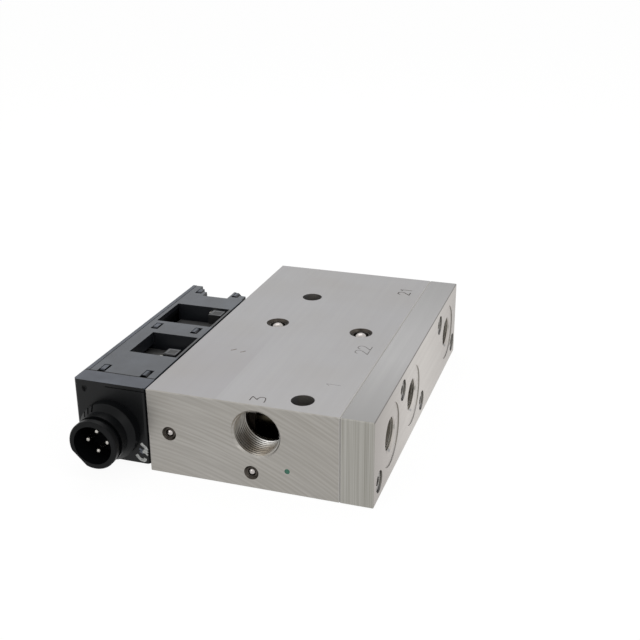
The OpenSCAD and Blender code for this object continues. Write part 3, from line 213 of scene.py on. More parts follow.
def milledPlate():
    # Milled aluminium bar: fine upright cutter lines on its ends with a faint olive tint, and a smooth
    # outer face painted lighter than the top as painted light. Painted shade darkens the outer face and
    # the top towards both ends, most towards the near end
    facts = {
        "endGrain": (0.6, 50, 100), "sideGrain": (2.381, 100, 3.03),
        "endTones": [(0.30, "#8f8d86"), (0.46, "#9a9892"), (0.56, "#a09e98"), (0.70, "#aba9a4")],
        # The outer face's tones are lighter than the top's as painted light
        "litSideTones": [(0.25, "#bcb7b2"), (0.55, "#c3beb9"), (0.80, "#cac6c1")],
        "topTones": [(0.25, "#a09f9f"), (0.55, "#a5a4a4"), (0.80, "#aaa9a8")],
        "nearShadeUpTo": 62.0, "farFrom": 95.0, "farShare": 0.6, "shadedTop": "#8d8c8b", "shadedSide": "#9f9994",
        "jointUpTo": 87.82, "arrisFrom": (101.65, 39.62),
        "lineDepth": 0.01,
    }
    made, tree, shader, place = startMaterial("milledAluminiumBar", {"Metallic": 1.0, "Roughness": 0.40})
    x, y, z = addNode(tree, "SeparateXYZ", None, {0: place}).outputs
    endScale = [1000 / size for size in facts["endGrain"]]
    stretch = addNode(tree, "Mapping", {"Scale": endScale}, {"Vector": place})
    upright = addNode(tree, "TexNoise", {"Scale": 1.0, "Detail": 3.0, "Roughness": 0.62},
                      {"Vector": stretch})
    endColour = addNode(tree, "ValToRGB", {"stops": facts["endTones"]}, {"Fac": upright})
    sideScale = [1000 / size for size in facts["sideGrain"]]
    along = addNode(tree, "Mapping", {"Scale": sideScale}, {"Vector": place})
    lengthwise = addNode(tree, "TexNoise", {"Scale": 1.0, "Detail": 3.0}, {"Vector": along})
    litSideColour = addNode(tree, "ValToRGB", {"stops": facts["litSideTones"]}, {"Fac": lengthwise})
    topColour = addNode(tree, "ValToRGB", {"stops": facts["topTones"]}, {"Fac": lengthwise})

    facing = addNode(tree, "SeparateXYZ", None, {0: addNode(tree, "NewGeometry").outputs["Normal"]})
    isTop = addNode(tree, "Math", {"operation": "GREATER_THAN", 1: squareOn}, {0: facing.outputs[2]})
    colour = addNode(tree, "Mix", {"data_type": "RGBA"}, {0: isTop, 6: litSideColour, 7: topColour})
    level = addNode(tree, "Math", {"operation": "ABSOLUTE"}, {0: facing.outputs[1]})
    isEnd = addNode(tree, "Math", {"operation": "GREATER_THAN", 1: squareOn}, {0: level})
    colour = addNode(tree, "Mix", {"data_type": "RGBA"}, {0: isEnd, 6: colour, 7: endColour})

    # Painted shade: darker towards the ends of the bar
    nearShade = addNode(tree, "MapRange", {
        "From Min": at(0, facts["nearShadeUpTo"], 0).y, "From Max": at(0, 0, 0).y}, {"Value": y})
    far = addNode(tree, "MapRange", {
        "From Min": at(0, facts["farFrom"], 0).y, "From Max": at(0, metalBody["depth"], 0).y,
        "To Max": facts["farShare"]}, {"Value": y})
    endShade = addNode(tree, "Math", {"operation": "MAXIMUM"}, {0: nearShade, 1: far})
    notEnd = addNode(tree, "Math", {"operation": "SUBTRACT", 0: 1.0}, {1: isEnd})
    endShade = addNode(tree, "Math", {"operation": "MULTIPLY"}, {0: endShade, 1: notEnd})
    endShadeTones = {"data_type": "RGBA", 6: linear(facts["shadedSide"]), 7: linear(facts["shadedTop"])}
    endShadeColour = addNode(tree, "Mix", endShadeTones, {0: isTop})
    colour = addNode(tree, "Mix", {"data_type": "RGBA"}, {0: endShade, 6: colour, 7: endShadeColour})

    # Painted highlight: the joint's broken edge is a little brighter. The edge along the top of the
    # port face is made darker
    jointUpTo = at(facts["jointUpTo"], 0, 0).x
    onJoint = addNode(tree, "Math", {"operation": "LESS_THAN", 1: jointUpTo}, {0: x})
    arrisX, arrisZ = facts["arrisFrom"]
    outer = addNode(tree, "Math", {"operation": "GREATER_THAN", 1: at(arrisX, 0, 0).x}, {0: x})
    high = addNode(tree, "Math", {"operation": "GREATER_THAN", 1: arrisZ / 1000}, {0: z})
    onArris = addNode(tree, "Math", {"operation": "MULTIPLY"}, {0: outer, 1: high})
    for share, tone in ((onJoint, "#b4b2af"), (onArris, "#817e7b")):
        colour = addNode(tree, "Mix", {"data_type": "RGBA", 7: linear(tone)}, {0: share, 6: colour})
    tree.links.new(colour.outputs[2], shader.inputs["Base Color"])
    height = addNode(tree, "Mix", None, {0: isEnd, 2: lengthwise, 3: upright})
    relief = addNode(tree, "Bump", {"Distance": facts["lineDepth"] / 1000}, {"Height": height})
    tree.links.new(relief.outputs[0], shader.inputs["Normal"])
    return made


def plainMetal(name, hexColour, darker, roughness, grain=1.111):
    # Small machined or plated part: an even sheen, a little duller in patches, over a grain in
    # millimetres that is drawn coarser than the real one so that it shows
    facts = {"patch": 3 * grain, "grainDepth": 0.01}
    made, tree, shader, place = startMaterial(name, {"Metallic": 1.0, "Roughness": roughness})
    patch = addNode(tree, "TexNoise", {"Scale": 1000 / facts["patch"], "Detail": 3.0}, {"Vector": place})
    colour = addNode(tree, "ValToRGB", {"stops": [(0.3, darker), (0.65, hexColour)]}, {"Fac": patch})
    tree.links.new(colour.outputs[0], shader.inputs["Base Color"])
    fine = addNode(tree, "TexNoise", {"Scale": 1000 / grain, "Detail": 2.0}, {"Vector": place})
    relief = addNode(tree, "Bump", {"Distance": facts["grainDepth"] / 1000, "Strength": 0.6},
                     {"Height": fine})
    tree.links.new(relief.outputs[0], shader.inputs["Normal"])
    return made


def cutThread(name, oily, middle, bright, roughness):
    # Cut thread flanks: brighter than the milled faces, with brown traces of oil in patches, and
    # painted shade that darkens the front port low on its left
    facts = {"oilPatch": 15.0, "leftShadeCentre": (43.5, 6.0, 20.0), "leftShadeReach": (3.0, 10.0), "leftShadeShare": 0.8,
             "chatter": 0.7143, "chatterDepth": 0.01}
    made, tree, shader, place = startMaterial(name, {"Metallic": 1.0, "Roughness": roughness})
    patch = addNode(tree, "TexNoise", {"Scale": 1000 / facts["oilPatch"], "Detail": 3.0}, {"Vector": place})
    tones = [(0.34, oily), (0.50, middle), (0.66, bright)]
    colour = addNode(tree, "ValToRGB", {"stops": tones}, {"Fac": patch})
    # Painted shade: dark brown low on the left of the front port
    away = addNode(tree, "VectorMath", {"operation": "DISTANCE", 1: at(*facts["leftShadeCentre"])}, {0: place})
    full, gone = [reach / 1000 for reach in facts["leftShadeReach"]]
    leftShade = addNode(tree, "MapRange", {"From Min": gone, "From Max": full, "To Max": facts["leftShadeShare"]},
                     {"Value": away})
    colour = addNode(tree, "Mix", {"data_type": "RGBA", 7: linear("#3b342b")}, {0: leftShade, 6: colour})
    tree.links.new(colour.outputs[2], shader.inputs["Base Color"])
    chatter = addNode(tree, "TexNoise", {"Scale": 1000 / facts["chatter"], "Detail": 2.0}, {"Vector": place})
    relief = addNode(tree, "Bump", {"Distance": facts["chatterDepth"] / 1000, "Strength": 0.7},
                     {"Height": chatter})
    tree.links.new(relief.outputs[0], shader.inputs["Normal"])
    return made


def mouldedNylon(name, hexColour, lighter, dustAndSheenTone, dustAndSheenLighter, roughness, gloss):
    # Glass-filled nylon from an eroded mould: even grain, drawn at 0.35 mm so that it shows, a
    # slight grey bloom, a lighter layer of dust and painted sheen on the top, and painted light on
    # the faces in the joint to the block
    facts = {
        "grain": 0.35, "grainDepth": 0.03, "bloom": 11.0, "dustAndSheenFrom": 38.9, "jointFrom": -1.3,
        # Bands without the lighter layer, as y from, y to and x from: the rails beside the two windows,
        # left black as painted shade, and the gap between deck and lid, which dark oil fills
        "darkBands": ((34.5, 58.6, -2.4), (73.0, 97.5, -2.4), (10.45, 11.45, -40.0)),
    }
    made, tree, shader, place = startMaterial(name, {
        "Roughness": roughness, "IOR": 1.53, "Specular IOR Level": gloss})
    x, y, z = addNode(tree, "SeparateXYZ", None, {0: place}).outputs
    bloom = addNode(tree, "TexNoise", {"Scale": 1000 / facts["bloom"], "Detail": 3.0}, {"Vector": place})
    colour = addNode(tree, "ValToRGB", {"stops": [(0.35, hexColour), (0.75, lighter)]}, {"Fac": bloom})

    # Where the layer of dust and painted sheen lies: faces that look up, and all faces in the joint,
    # where it is painted light, above a certain height
    facing = addNode(tree, "SeparateXYZ", None, {0: addNode(tree, "NewGeometry").outputs["Normal"]})
    faceUp = addNode(tree, "MapRange", {"From Min": 0.5, "From Max": 0.95}, {"Value": facing.outputs[2]})
    # Painted light: the faces in the joint to the block get the lighter layer
    jointFrom = at(facts["jointFrom"], 0, 0).x
    inJoint = addNode(tree, "Math", {"operation": "GREATER_THAN", 1: jointFrom}, {0: x})
    dustAndSheen = addNode(tree, "Math", {"operation": "MAXIMUM"}, {0: faceUp, 1: inJoint})
    uneven = addNode(tree, "MapRange", {"From Min": 0.2, "From Max": 0.7, "To Min": 0.7}, {"Value": bloom})
    onTop = addNode(tree, "Math", {"operation": "GREATER_THAN", 1: facts["dustAndSheenFrom"] / 1000}, {0: z})
    shares = [uneven, onTop]
    # Painted shade on the rails beside the windows; the gap between deck and lid is a dark joint
    for start, end, beyondX in facts["darkBands"]:
        middle, half = at(0, (start + end) / 2, 0).y, (end - start) / 2000
        inBand = addNode(tree, "Math", {"operation": "COMPARE", 1: middle, 2: half}, {0: y})
        beyond = addNode(tree, "Math", {"operation": "GREATER_THAN", 1: at(beyondX, 0, 0).x}, {0: x})
        inDarkBand = addNode(tree, "Math", {"operation": "MULTIPLY"}, {0: inBand, 1: beyond})
        shares.append(addNode(tree, "Math", {"operation": "SUBTRACT", 0: 1.0}, {1: inDarkBand}))
    for share in shares:
        dustAndSheen = addNode(tree, "Math", {"operation": "MULTIPLY"}, {0: dustAndSheen, 1: share})
    dustAndSheenColour = addNode(tree, "Mix", {"data_type": "RGBA", 6: linear(dustAndSheenTone), 7: linear(dustAndSheenLighter)}, {0: bloom})
    colour = addNode(tree, "Mix", {"data_type": "RGBA"}, {0: dustAndSheen, 6: colour, 7: dustAndSheenColour})
    tree.links.new(colour.outputs[2], shader.inputs["Base Color"])
    grain = addNode(tree, "TexNoise", {"Scale": 1000 / facts["grain"], "Detail": 1.0}, {"Vector": place})
    relief = addNode(tree, "Bump", {"Distance": facts["grainDepth"] / 1000, "Strength": 0.5},
                     {"Height": grain})
    tree.links.new(relief.outputs[0], shader.inputs["Normal"])
    return made


def mouldedRubber():
    # Nitrile rubber: dull black with a faint dusty bloom
    facts = {"bloom": 2.5, "bloomDepth": 0.02}
    made, tree, shader, place = startMaterial("nitrileRubber", {"Roughness": 0.65, "IOR": 1.52})
    bloom = addNode(tree, "TexNoise", {"Scale": 1000 / facts["bloom"], "Detail": 3.0}, {"Vector": place})
    colour = addNode(tree, "ValToRGB", {"stops": [(0.3, "#141414"), (0.8, "#242423")]}, {"Fac": bloom})
    tree.links.new(colour.outputs[0], shader.inputs["Base Color"])
    relief = addNode(tree, "Bump", {"Distance": facts["bloomDepth"] / 1000, "Strength": 0.5},
                     {"Height": bloom})
    tree.links.new(relief.outputs[0], shader.inputs["Normal"])
    return made


def woundWire():
    # Enamelled copper wire, turn beside turn: bright brown ridges with dark lines between them
    facts = {"wire": 0.4, "wireDepth": 0.1}
    made, tree, shader, place = startMaterial("enamelledCopper", {"Metallic": 1.0, "Roughness": 0.32})
    wireScale = 1000 / facts["wire"] * 2 * math.pi / 20  # a wave texture has 20 radians to the unit
    turns = addNode(tree, "TexWave", {"wave_type": "BANDS", "bands_direction": "X", "Scale": wireScale},
                    {"Vector": place})
    colour = addNode(tree, "ValToRGB", {"stops": [(0.1, "#5d2410"), (0.8, "#b4622f")]}, {"Fac": turns})
    tree.links.new(colour.outputs[0], shader.inputs["Base Color"])
    relief = addNode(tree, "Bump", {"Distance": facts["wireDepth"] / 1000}, {"Height": turns})
    tree.links.new(relief.outputs[0], shader.inputs["Normal"])
    return made


def brushedPaint(name, hexColour, darker, roughness):
    # Paint put on by hand: slightly uneven cover and a soft sheen
    facts = {"cover": 0.625, "coverDepth": 0.04}
    made, tree, shader, place = startMaterial(name, {"Roughness": roughness, "IOR": 1.48})
    cover = addNode(tree, "TexNoise", {"Scale": 1000 / facts["cover"], "Detail": 3.0}, {"Vector": place})
    colour = addNode(tree, "ValToRGB", {"stops": [(0.32, darker), (0.58, hexColour)]}, {"Fac": cover})
    tree.links.new(colour.outputs[0], shader.inputs["Base Color"])
    relief = addNode(tree, "Bump", {"Distance": facts["coverDepth"] / 1000, "Strength": 0.6},
                     {"Height": cover})
    tree.links.new(relief.outputs[0], shader.inputs["Normal"])
    return made


nylonTones = ("#060708", "#0d0e10", "#4b4f57", "#5c616b")
lidTones = ("#14161a", "#1b1d21", "#2c3138", "#4a5059")
finishes = {  # material slot: finish
    "milled_aluminium": milledBlock(),
    "plate_aluminium": milledPlate(),
    "black_steel": plainMetal("platedScrewSteel", "#b3b0ad", "#9b9895", 0.36),
    "zinc_steel": plainMetal("zincPlatedSteel", "#c4c5c8", "#a2a3a6", 0.30),
    "seal_rubber": mouldedRubber(),
    "plug_steel": plainMetal("turnedSteel", "#4f4a45", "#332f2b", 0.40),
    "ball_steel": plainMetal("polishedBallSteel", "#b7b2af", "#a39e9b", 0.24),
    "spring_steel": plainMetal("springSteel", "#b8b6b2", "#989692", 0.28),
    "spool_aluminium": plainMetal("hardAnodisedAluminium", "#5d5646", "#484233", 0.35),
    "housing_plastic": mouldedNylon("glassFilledNylon", *nylonTones, 0.40, 0.22),
    "lid_plastic": mouldedNylon("glassFilledNylonLid", *lidTones, 0.36, 0.5),
    "bobbin_plastic": mouldedNylon("bobbinNylon", "#0f0f10", "#181819", "#1e1f20", "#222324", 0.5, 0.35),
    "winding_copper": woundWire(),
    "tinned_contacts": plainMetal("tinPlatedContact", "#bdbab4", "#9f9c96", 0.26),
    "yoke_steel": plainMetal("platedYokeSteel", "#6b6b6a", "#525251", 0.36),
    "core_iron": plainMetal("turnedSoftIron", "#9a9a9a", "#7c7c7c", 0.3),
    "tube_steel": plainMetal("drawnStainlessTube", "#bdbab2", "#a19e96", 0.25),
    "nozzle_brass": plainMetal("turnedBrass", "#c9a45a", "#a9843c", 0.25),
}
cutFinish = cutThread("cutAluminiumThread", "#7d756a", "#a6a39d", "#d0cfcc", 0.34)
sideCutFinish = cutThread("cutAluminiumSideThread", "#97928a", "#bdb9b1", "#dad7d1", 0.45)
grooveFinish = plainMetal("stampedGroove", "#6f6c69", "#595653", 0.5)  # dull and darker than the faces
markFinish = plainMetal("rubbedMark", "#6f665d", "#5c534a", 0.5)  # brown and dull
stakedFinish = plainMetal("stakedCountersink", "#4b4641", "#2a2622", 0.42)  # dark oily ring
tabFinish = plainMetal("dullTinPlate", "#5d5e60", "#48494b", 0.42, 0.8333)
gateFinish = mouldedNylon("nylonGateMark", "#040405", "#08090a", "#08090a", "#0a0b0c", 0.5, 0.15)
greenPaint = brushedPaint("greenMarkingPaint", "#2c6a55", "#1b4a3b", 0.35)
whitePaint = brushedPaint("whiteMarkingPaint", "#c4c5c3", "#8f9191", 0.5)
thinPaint = brushedPaint("thinnedMarkingPaint", "#5b606b", "#3a3e46", 0.5)  # the dark ground shows through
slotOf = {entry["node"]: entry["material_slot"] for entry in frame["record"]["subparts"]}
for nodeName, cadPiece in frame["nodes"].items():
    cadPiece.data.materials.clear()
    cadPiece.data.materials.append(finishes[slotOf[nodeName]])

# The connector's shell, all that stands out from the housing's front face, is the dullest part
shellSettings = {"frontOf": 0.45, "gloss": 0.11}
shellFinish = mouldedNylon("glassFilledNylonShell", *nylonTones, 0.40, shellSettings["gloss"])
housing = frame["nodes"]["solenoid_housing"]
housing.data.materials.append(shellFinish)
for face in housing.data.polygons:
    if face.center.y < at(0, shellSettings["frontOf"], 0).y:
        face.material_index = 1
# Painted shade: the yoke in the rear window is black, where the front one is plated steel
frame["nodes"]["yoke_2"].data.materials[0] = brushedPaint("shadedYokeBlack", "#1b1b1c", "#131314", 0.5)
print("materials on", len(slotOf), "nodes")


# Pieces

def shadeByAngle(shape, sharp):
    for face in shape.faces:
        face.smooth = True
    for edge in shape.edges:
        edge.smooth = edge.is_manifold and edge.calc_face_angle() < math.radians(sharp)


def closeMesh(name, shape, finish, sharp=35):  # merged and turned outwards
    bmesh.ops.remove_doubles(shape, verts=shape.verts, dist=1e-7)
    bmesh.ops.recalc_face_normals(shape, faces=shape.faces)
    shadeByAngle(shape, sharp)
    mesh = bpy.data.meshes.new(name)
    shape.to_mesh(mesh)
    shape.free()
    mesh.materials.append(finish)
    made = bpy.data.objects.new(name, mesh)
    bpy.context.collection.objects.link(made)
    return made


def placePiece(name, shape, finish, sharp=35):
    made = closeMesh(name, shape, finish, sharp)
    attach(made, "block")
    return made


def standing(direction, point):  # turns a shape made along Z so that it runs along a direction
    turn = Vector((0, 0, 1)).rotation_difference(Vector(direction))
    return Matrix.Translation(point) @ turn.to_matrix().to_4x4()


def pushOut(shape, way):  # every face as a slab
    lifted = bmesh.ops.extrude_face_region(shape, geom=list(shape.faces))["geom"]
    verts = [part for part in lifted if isinstance(part, bmesh.types.BMVert)]
    bmesh.ops.translate(shape, vec=way, verts=verts)


def spinRound(shape, corners, sides):  # closed ring from (radius, height) corners in mm
    ring = [shape.verts.new((r / 1000, 0, z / 1000)) for r, z in corners]
    edges = [shape.edges.new((first, second)) for first, second in zip(ring, ring[1:] + ring[:1])]
    before = set(shape.verts) - set(ring)
    bmesh.ops.spin(shape, geom=ring + edges, cent=(0, 0, 0), axis=(0, 0, 1), dvec=(0, 0, 0),
                   angle=2 * math.pi, steps=sides, use_merge=True)
    return [vert for vert in shape.verts if vert not in before]


def strokeShape(points, radius):  # round stroke through points in the frame
    curve = bpy.data.curves.new("stroke", "CURVE")
    curve.dimensions = "3D"
    curve.bevel_depth = radius
    curve.bevel_resolution = 2
    curve.resolution_u = 6
    curve.use_fill_caps = True
    spline = curve.splines.new("BEZIER")
    spline.bezier_points.add(len(points) - 1)
    for knot, spot in zip(spline.bezier_points, points):
        knot.co = spot
        knot.handle_left_type = knot.handle_right_type = "AUTO"
    source = bpy.data.objects.new("stroke", curve)
    bpy.context.collection.objects.link(source)
    mesh = bpy.data.meshes.new_from_object(source.evaluated_get(bpy.context.evaluated_depsgraph_get()))
    bpy.data.objects.remove(source)
    shape = bmesh.new()
    shape.from_mesh(mesh)
    bpy.data.meshes.remove(mesh)
    return shape


def figureCutter(name, stroke, width, depth, finish):  # round-bottomed, through (x, y) on the top face
    radius = (width * width / 4 + depth * depth) / 2 / depth
    axisHeight = metalBody["height"] + radius - depth
    return closeMesh(name, strokeShape([at(x, y, axisHeight) for x, y in stroke], radius / 1000), finish)


threadSettings = {
    "pitch": 1.5, "depth": 0.81, "flank": 30,  # degrees from square to the axis
    "standIn": 0.24,  # how far the cutter reaches into the bore
    "front": {"core": 10.19, "turns": 10, "sides": 64, "start": (50.4, -0.6, 26.3)},
    "side": {"core": 7.19, "turns": 9, "sides": 48, "startX": 102.4, "height": 20.5,
             "rows": {"1": 27.5, "22": 67.5, "21": 146.7}},
}


def threadCutter(name, port, direction, start, finish):
    # Sixty degree groove spun as a helix about the port's axis, from its mouth inwards
    pitch, root = threadSettings["pitch"], port["core"] + threadSettings["depth"]
    inner = port["core"] - threadSettings["standIn"]
    wide, narrow = [pitch / 16 + (root - r) * math.tan(math.radians(threadSettings["flank"]))
                    for r in (inner, root)]
    shape = bmesh.new()
    groove = [shape.verts.new((r / 1000, 0, z / 1000))
              for r, z in ((inner, -wide), (root, -narrow), (root, narrow), (inner, wide))]
    face = shape.faces.new(groove)
    bmesh.ops.spin(shape, geom=[face] + groove + list(face.edges), cent=(0, 0, 0), axis=(0, 0, 1),
                   dvec=(0, 0, pitch / 1000 / port["sides"]), angle=2 * math.pi * port["turns"],
                   steps=port["sides"] * port["turns"], use_merge=False)
    bmesh.ops.transform(shape, matrix=standing(direction, at(*start)), verts=shape.verts)
    return closeMesh(name, shape, finish)


def cutCopy(name, nodeName, cutters):
    # A copy of a CAD node with grooves cut in, which stands for the node
    sharp, squareFace = 30, 0.9999  # degrees, and a normal's share along one axis
    shape = bmesh.new()
    shape.from_mesh(frame["nodes"][nodeName].data)
    bmesh.ops.remove_doubles(shape, verts=shape.verts, dist=1e-6)
    copy = closeMesh(name, shape, finishes[slotOf[nodeName]], sharp)
    for cutter in cutters:
        cut = copy.modifiers.new(cutter.name, "BOOLEAN")
        cut.operation = "DIFFERENCE"
        cut.solver = "MANIFOLD"
        cut.object = cutter
        cut.material_mode = "TRANSFER"
    mesh = bpy.data.meshes.new_from_object(copy.evaluated_get(bpy.context.evaluated_depsgraph_get()))
    copy.modifiers.clear()
    shape = bmesh.new()
    shape.from_mesh(mesh)
    shadeByAngle(shape, sharp)
    for face in shape.faces:  # the milled planes stay flat up to the grooves
        if max(abs(part) for part in face.normal) > squareFace:
            face.smooth = False
    shape.to_mesh(mesh)
    shape.free()
    copy.data = mesh
    for cutter in cutters:
        bpy.data.objects.remove(cutter)
    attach(copy, "block")
    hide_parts(nodeName)
    return copy


# Numbers beside the ports, stamped in the top
numberSettings = {
    "height": 6.4, "width": 4.2, "spacing": 5.1, "strokeWidth": 0.62, "strokeDepth": 0.24,
    # Strokes of each figure in a box one wide and one high
    "figures": {
        "1": [[(0.22, 0.76), (0.56, 1.0)], [(0.56, 1.0), (0.56, 0.5), (0.56, 0.0)]],
        "2": [[(0.05, 0.76), (0.20, 0.95), (0.50, 1.0), (0.84, 0.90), (0.90, 0.66), (0.60, 0.38),
               (0.04, 0.02)], [(0.04, 0.02), (0.5, 0.02), (0.97, 0.02)]],
        "3": [[(0.08, 0.99), (0.55, 1.0), (1.0, 0.98)], [(1.0, 0.98), (0.72, 0.76), (0.42, 0.54)],
              [(0.42, 0.54), (0.80, 0.53), (1.06, 0.36), (1.0, 0.12), (0.60, 0.0), (0.02, -0.03)]],
    },
    # Each number's centre; it reads along the block with its top towards the housing
    "places": {"3": (49.8, 5.6), "22": (77.9, 68.1), "21": (78.2, 149.0), "1": (75.7, 28.4)},
    # How hard each number was struck
    "struck": {"3": 0.85, "22": 0.62, "21": 1.1, "1": 0.3},
}
cutters = []
for text, (centreX, centreY) in numberSettings["places"].items():
    struck = numberSettings["struck"][text]
    strokes = []
    for index, figure in enumerate(text):
        offset = (index - (len(text) - 1) / 2) * numberSettings["spacing"]
        for stroke in numberSettings["figures"][figure]:
            strokes.append([(centreX - (v - 0.5) * numberSettings["height"],
                             centreY + offset + (u - 0.5) * numberSettings["width"]) for u, v in stroke])
    for part, stroke in enumerate(strokes):
        cutters.append(figureCutter("figure%sStroke%d" % (text, part), stroke,
                                    numberSettings["strokeWidth"] * struck,
                                    numberSettings["strokeDepth"] * struck, grooveFinish))

# Two short shallow tool marks near the housing
markSettings = {
    "width": 1.3, "depth": 0.12,
    "strokes": [[(19.0, 49.2), (20.2, 50.1), (21.1, 51.3)], [(24.1, 48.4), (25.1, 49.3), (25.9, 50.4)]],
}
for part, stroke in enumerate(markSettings["strokes"]):
    cutters.append(figureCutter("toolMark%d" % part, stroke, markSettings["width"], markSettings["depth"],
                                markFinish))

frontPort = threadSettings["front"]
cutters.append(threadCutter("port3Thread", frontPort, (0, 1, 0), frontPort["start"], cutFinish))
numberedBlock = cutCopy("numberedBlock", "manifold_block", cutters)
print("block with numbers and thread:", len(numberedBlock.data.polygons), "faces")

sidePort = threadSettings["side"]
sideCutters = []
for portName, row in sidePort["rows"].items():
    start = (sidePort["startX"], row, sidePort["height"])
    sideCutters.append(threadCutter("port%sThread" % portName, sidePort, (-1, 0, 0), start, sideCutFinish))
threadedPlate = cutCopy("threadedPlate", "end_plate", sideCutters)
print("end plate with threads:", len(threadedPlate.data.polygons), "faces")

# Ball plugs: a dark staked ring on each countersink, and the ball with its crown just below the
# surface. The sizes are diameters, and each seat is a place with the direction into the metal
plugSettings = {
    "large": {"sink": 11.2, "sleeve": 8.8, "seats": [
        ((28.1, 87.6, 40), (0, 0, -1)), ((71.1, 87.6, 40), (0, 0, -1)), ((71.1, 170.4, 20.5), (0, -1, 0))]},
    "small": {"sink": 6.6, "sleeve": 5.0, "seats": [((10.1, 0, 20), (0, 1, 0)), ((48, 0, 7.5), (0, 1, 0))]},
}
ballSettings = {"wall": 0.7, "gap": 0.02, "crown": 0.2}
ringSettings = {"sides": 48, "sunk": 0.005, "gap": 0.01, "thickness": 0.09}
for size, plug in plugSettings.items():
    rings, balls = bmesh.new(), bmesh.new()
    rim, seat = plug["sink"] / 2, plug["sleeve"] / 2
    gap, thickness, sunk = [ringSettings[key] for key in ("gap", "thickness", "sunk")]
    corners = [(rim - gap, sunk), (rim - gap - thickness, sunk),
               (seat, rim - seat - thickness), (seat, rim - seat - gap)]
    ballRadius = seat - ballSettings["wall"] - ballSettings["gap"]
    ballPlace = Matrix.Translation((0, 0, (ballSettings["crown"] + ballRadius) / 1000))
    for point, direction in plug["seats"]:
        move = standing(direction, at(*point))
        ring = spinRound(rings, corners, ringSettings["sides"])
        bmesh.ops.transform(rings, matrix=move, verts=ring)
        ball = bmesh.ops.create_icosphere(balls, subdivisions=4, radius=ballRadius / 1000)["verts"]
        bmesh.ops.transform(balls, matrix=move @ ballPlace, verts=ball)
    placePiece(size + "PlugRings", rings, stakedFinish)
    plugBalls = placePiece(size + "PlugBalls", balls, finishes["ball_steel"], 60)
    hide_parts(size + "_plug_balls")
print("plugs dressed")

# Return springs as smooth round wire
springSettings = {  # node: piece, joint, and if the fixed end is the one towards the end plate
    "spool_spring_1": ("returnSpring1", "spool_1_slide", True),
    "spool_spring_22": ("returnSpring22", "spool_22_slide", True),
    "spool_spring_21": ("returnSpring21", "spool_21_slide", True),
    "armature_spring_1": ("armatureSpring1", "armature_1_slide", False),
    "armature_spring_2": ("armatureSpring2", "armature_2_slide", False),
}
for nodeName, (name, jointName, fixedRight) in springSettings.items():
    shape = bmesh.new()
    shape.from_mesh(frame["nodes"][nodeName].data)
    spring = placePiece(name, shape, finishes["spring_steel"], 65)
    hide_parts(nodeName)
    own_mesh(spring)

# Terminal caps on the coils' heads: tinned frame round a dark recess, with one pin end
capSettings = {
    "caps": {"terminalCap1": ((-6.7, 40.4), 5.9), "terminalCap2": ((-6.4, 91.4), 6.3)},  # centre, width
    "bottom": 39.28, "thickness": 0.2, "frame": 1.3, "recess": 0.14, "edge": 0.05,
    "rimAngle": 30,  # degrees, from where an edge is rounded
    "pinRadius": 0.45, "pinInset": 0.7, "pinHeight": 39.3,
}
for name, ((centreX, centreY), width) in capSettings["caps"].items():
    shape = bmesh.new()
    bmesh.ops.create_grid(shape, x_segments=1, y_segments=1, size=width / 2000)
    bmesh.ops.translate(shape, vec=at(centreX, centreY, capSettings["bottom"]), verts=shape.verts)
    pushOut(shape, (0, 0, capSettings["thickness"] / 1000))
    top = max(shape.faces, key=lambda face: face.calc_center_median().z)
    bmesh.ops.inset_region(shape, faces=[top], thickness=capSettings["frame"] / 1000)
    bmesh.ops.translate(shape, vec=(0, 0, -capSettings["recess"] / 1000), verts=top.verts)
    recess = top.calc_center_median().z
    rimAngle = math.radians(capSettings["rimAngle"])
    rimEdges = [edge for edge in shape.edges if edge.is_manifold and edge.calc_face_angle() > rimAngle]
    bmesh.ops.bevel(shape, geom=rimEdges, offset=capSettings["edge"] / 1000, affect="EDGES", segments=2,
                    profile=0.5, material=-1)
    pin = bmesh.ops.create_icosphere(shape, subdivisions=2, radius=capSettings["pinRadius"] / 1000)["verts"]
    pinReach = width / 2 - capSettings["pinInset"]
    pinPlace = at(centreX - pinReach, centreY - pinReach, capSettings["pinHeight"])
    bmesh.ops.translate(shape, vec=pinPlace, verts=pin)
    cap = placePiece(name, shape, tabFinish)
    cap.data.materials.append(finishes["bobbin_plastic"])
    for face in cap.data.polygons:
        if abs(face.center.z - recess) < 1e-6 and face.normal.z > 0.9:
            face.material_index = 1
print("terminal caps placed")

# Moulded collars round the four contact pins
collarSettings = {"centre": (-18.3, 17.8), "pinCircle": 4.8, "floor": -2.8, "outer": 2.1, "inner": 1.32,
                  "height": 1.3, "chamfer": 0.25, "sides": 32}
inner, outer, height = [collarSettings[key] for key in ("inner", "outer", "height")]
corners = [(inner, 0), (outer, 0), (outer, height - collarSettings["chamfer"]),
           (outer - collarSettings["chamfer"], height), (inner, height)]
shape = bmesh.new()
for quarter in range(4):
    angle = quarter * math.pi / 2
    collar = spinRound(shape, corners, collarSettings["sides"])
    spot = at(collarSettings["centre"][0] + collarSettings["pinCircle"] * math.cos(angle),
              collarSettings["floor"],
              collarSettings["centre"][1] + collarSettings["pinCircle"] * math.sin(angle))
    bmesh.ops.transform(shape, matrix=standing((0, -1, 0), spot), verts=collar)
placePiece("pinCollars", shape, shellFinish)

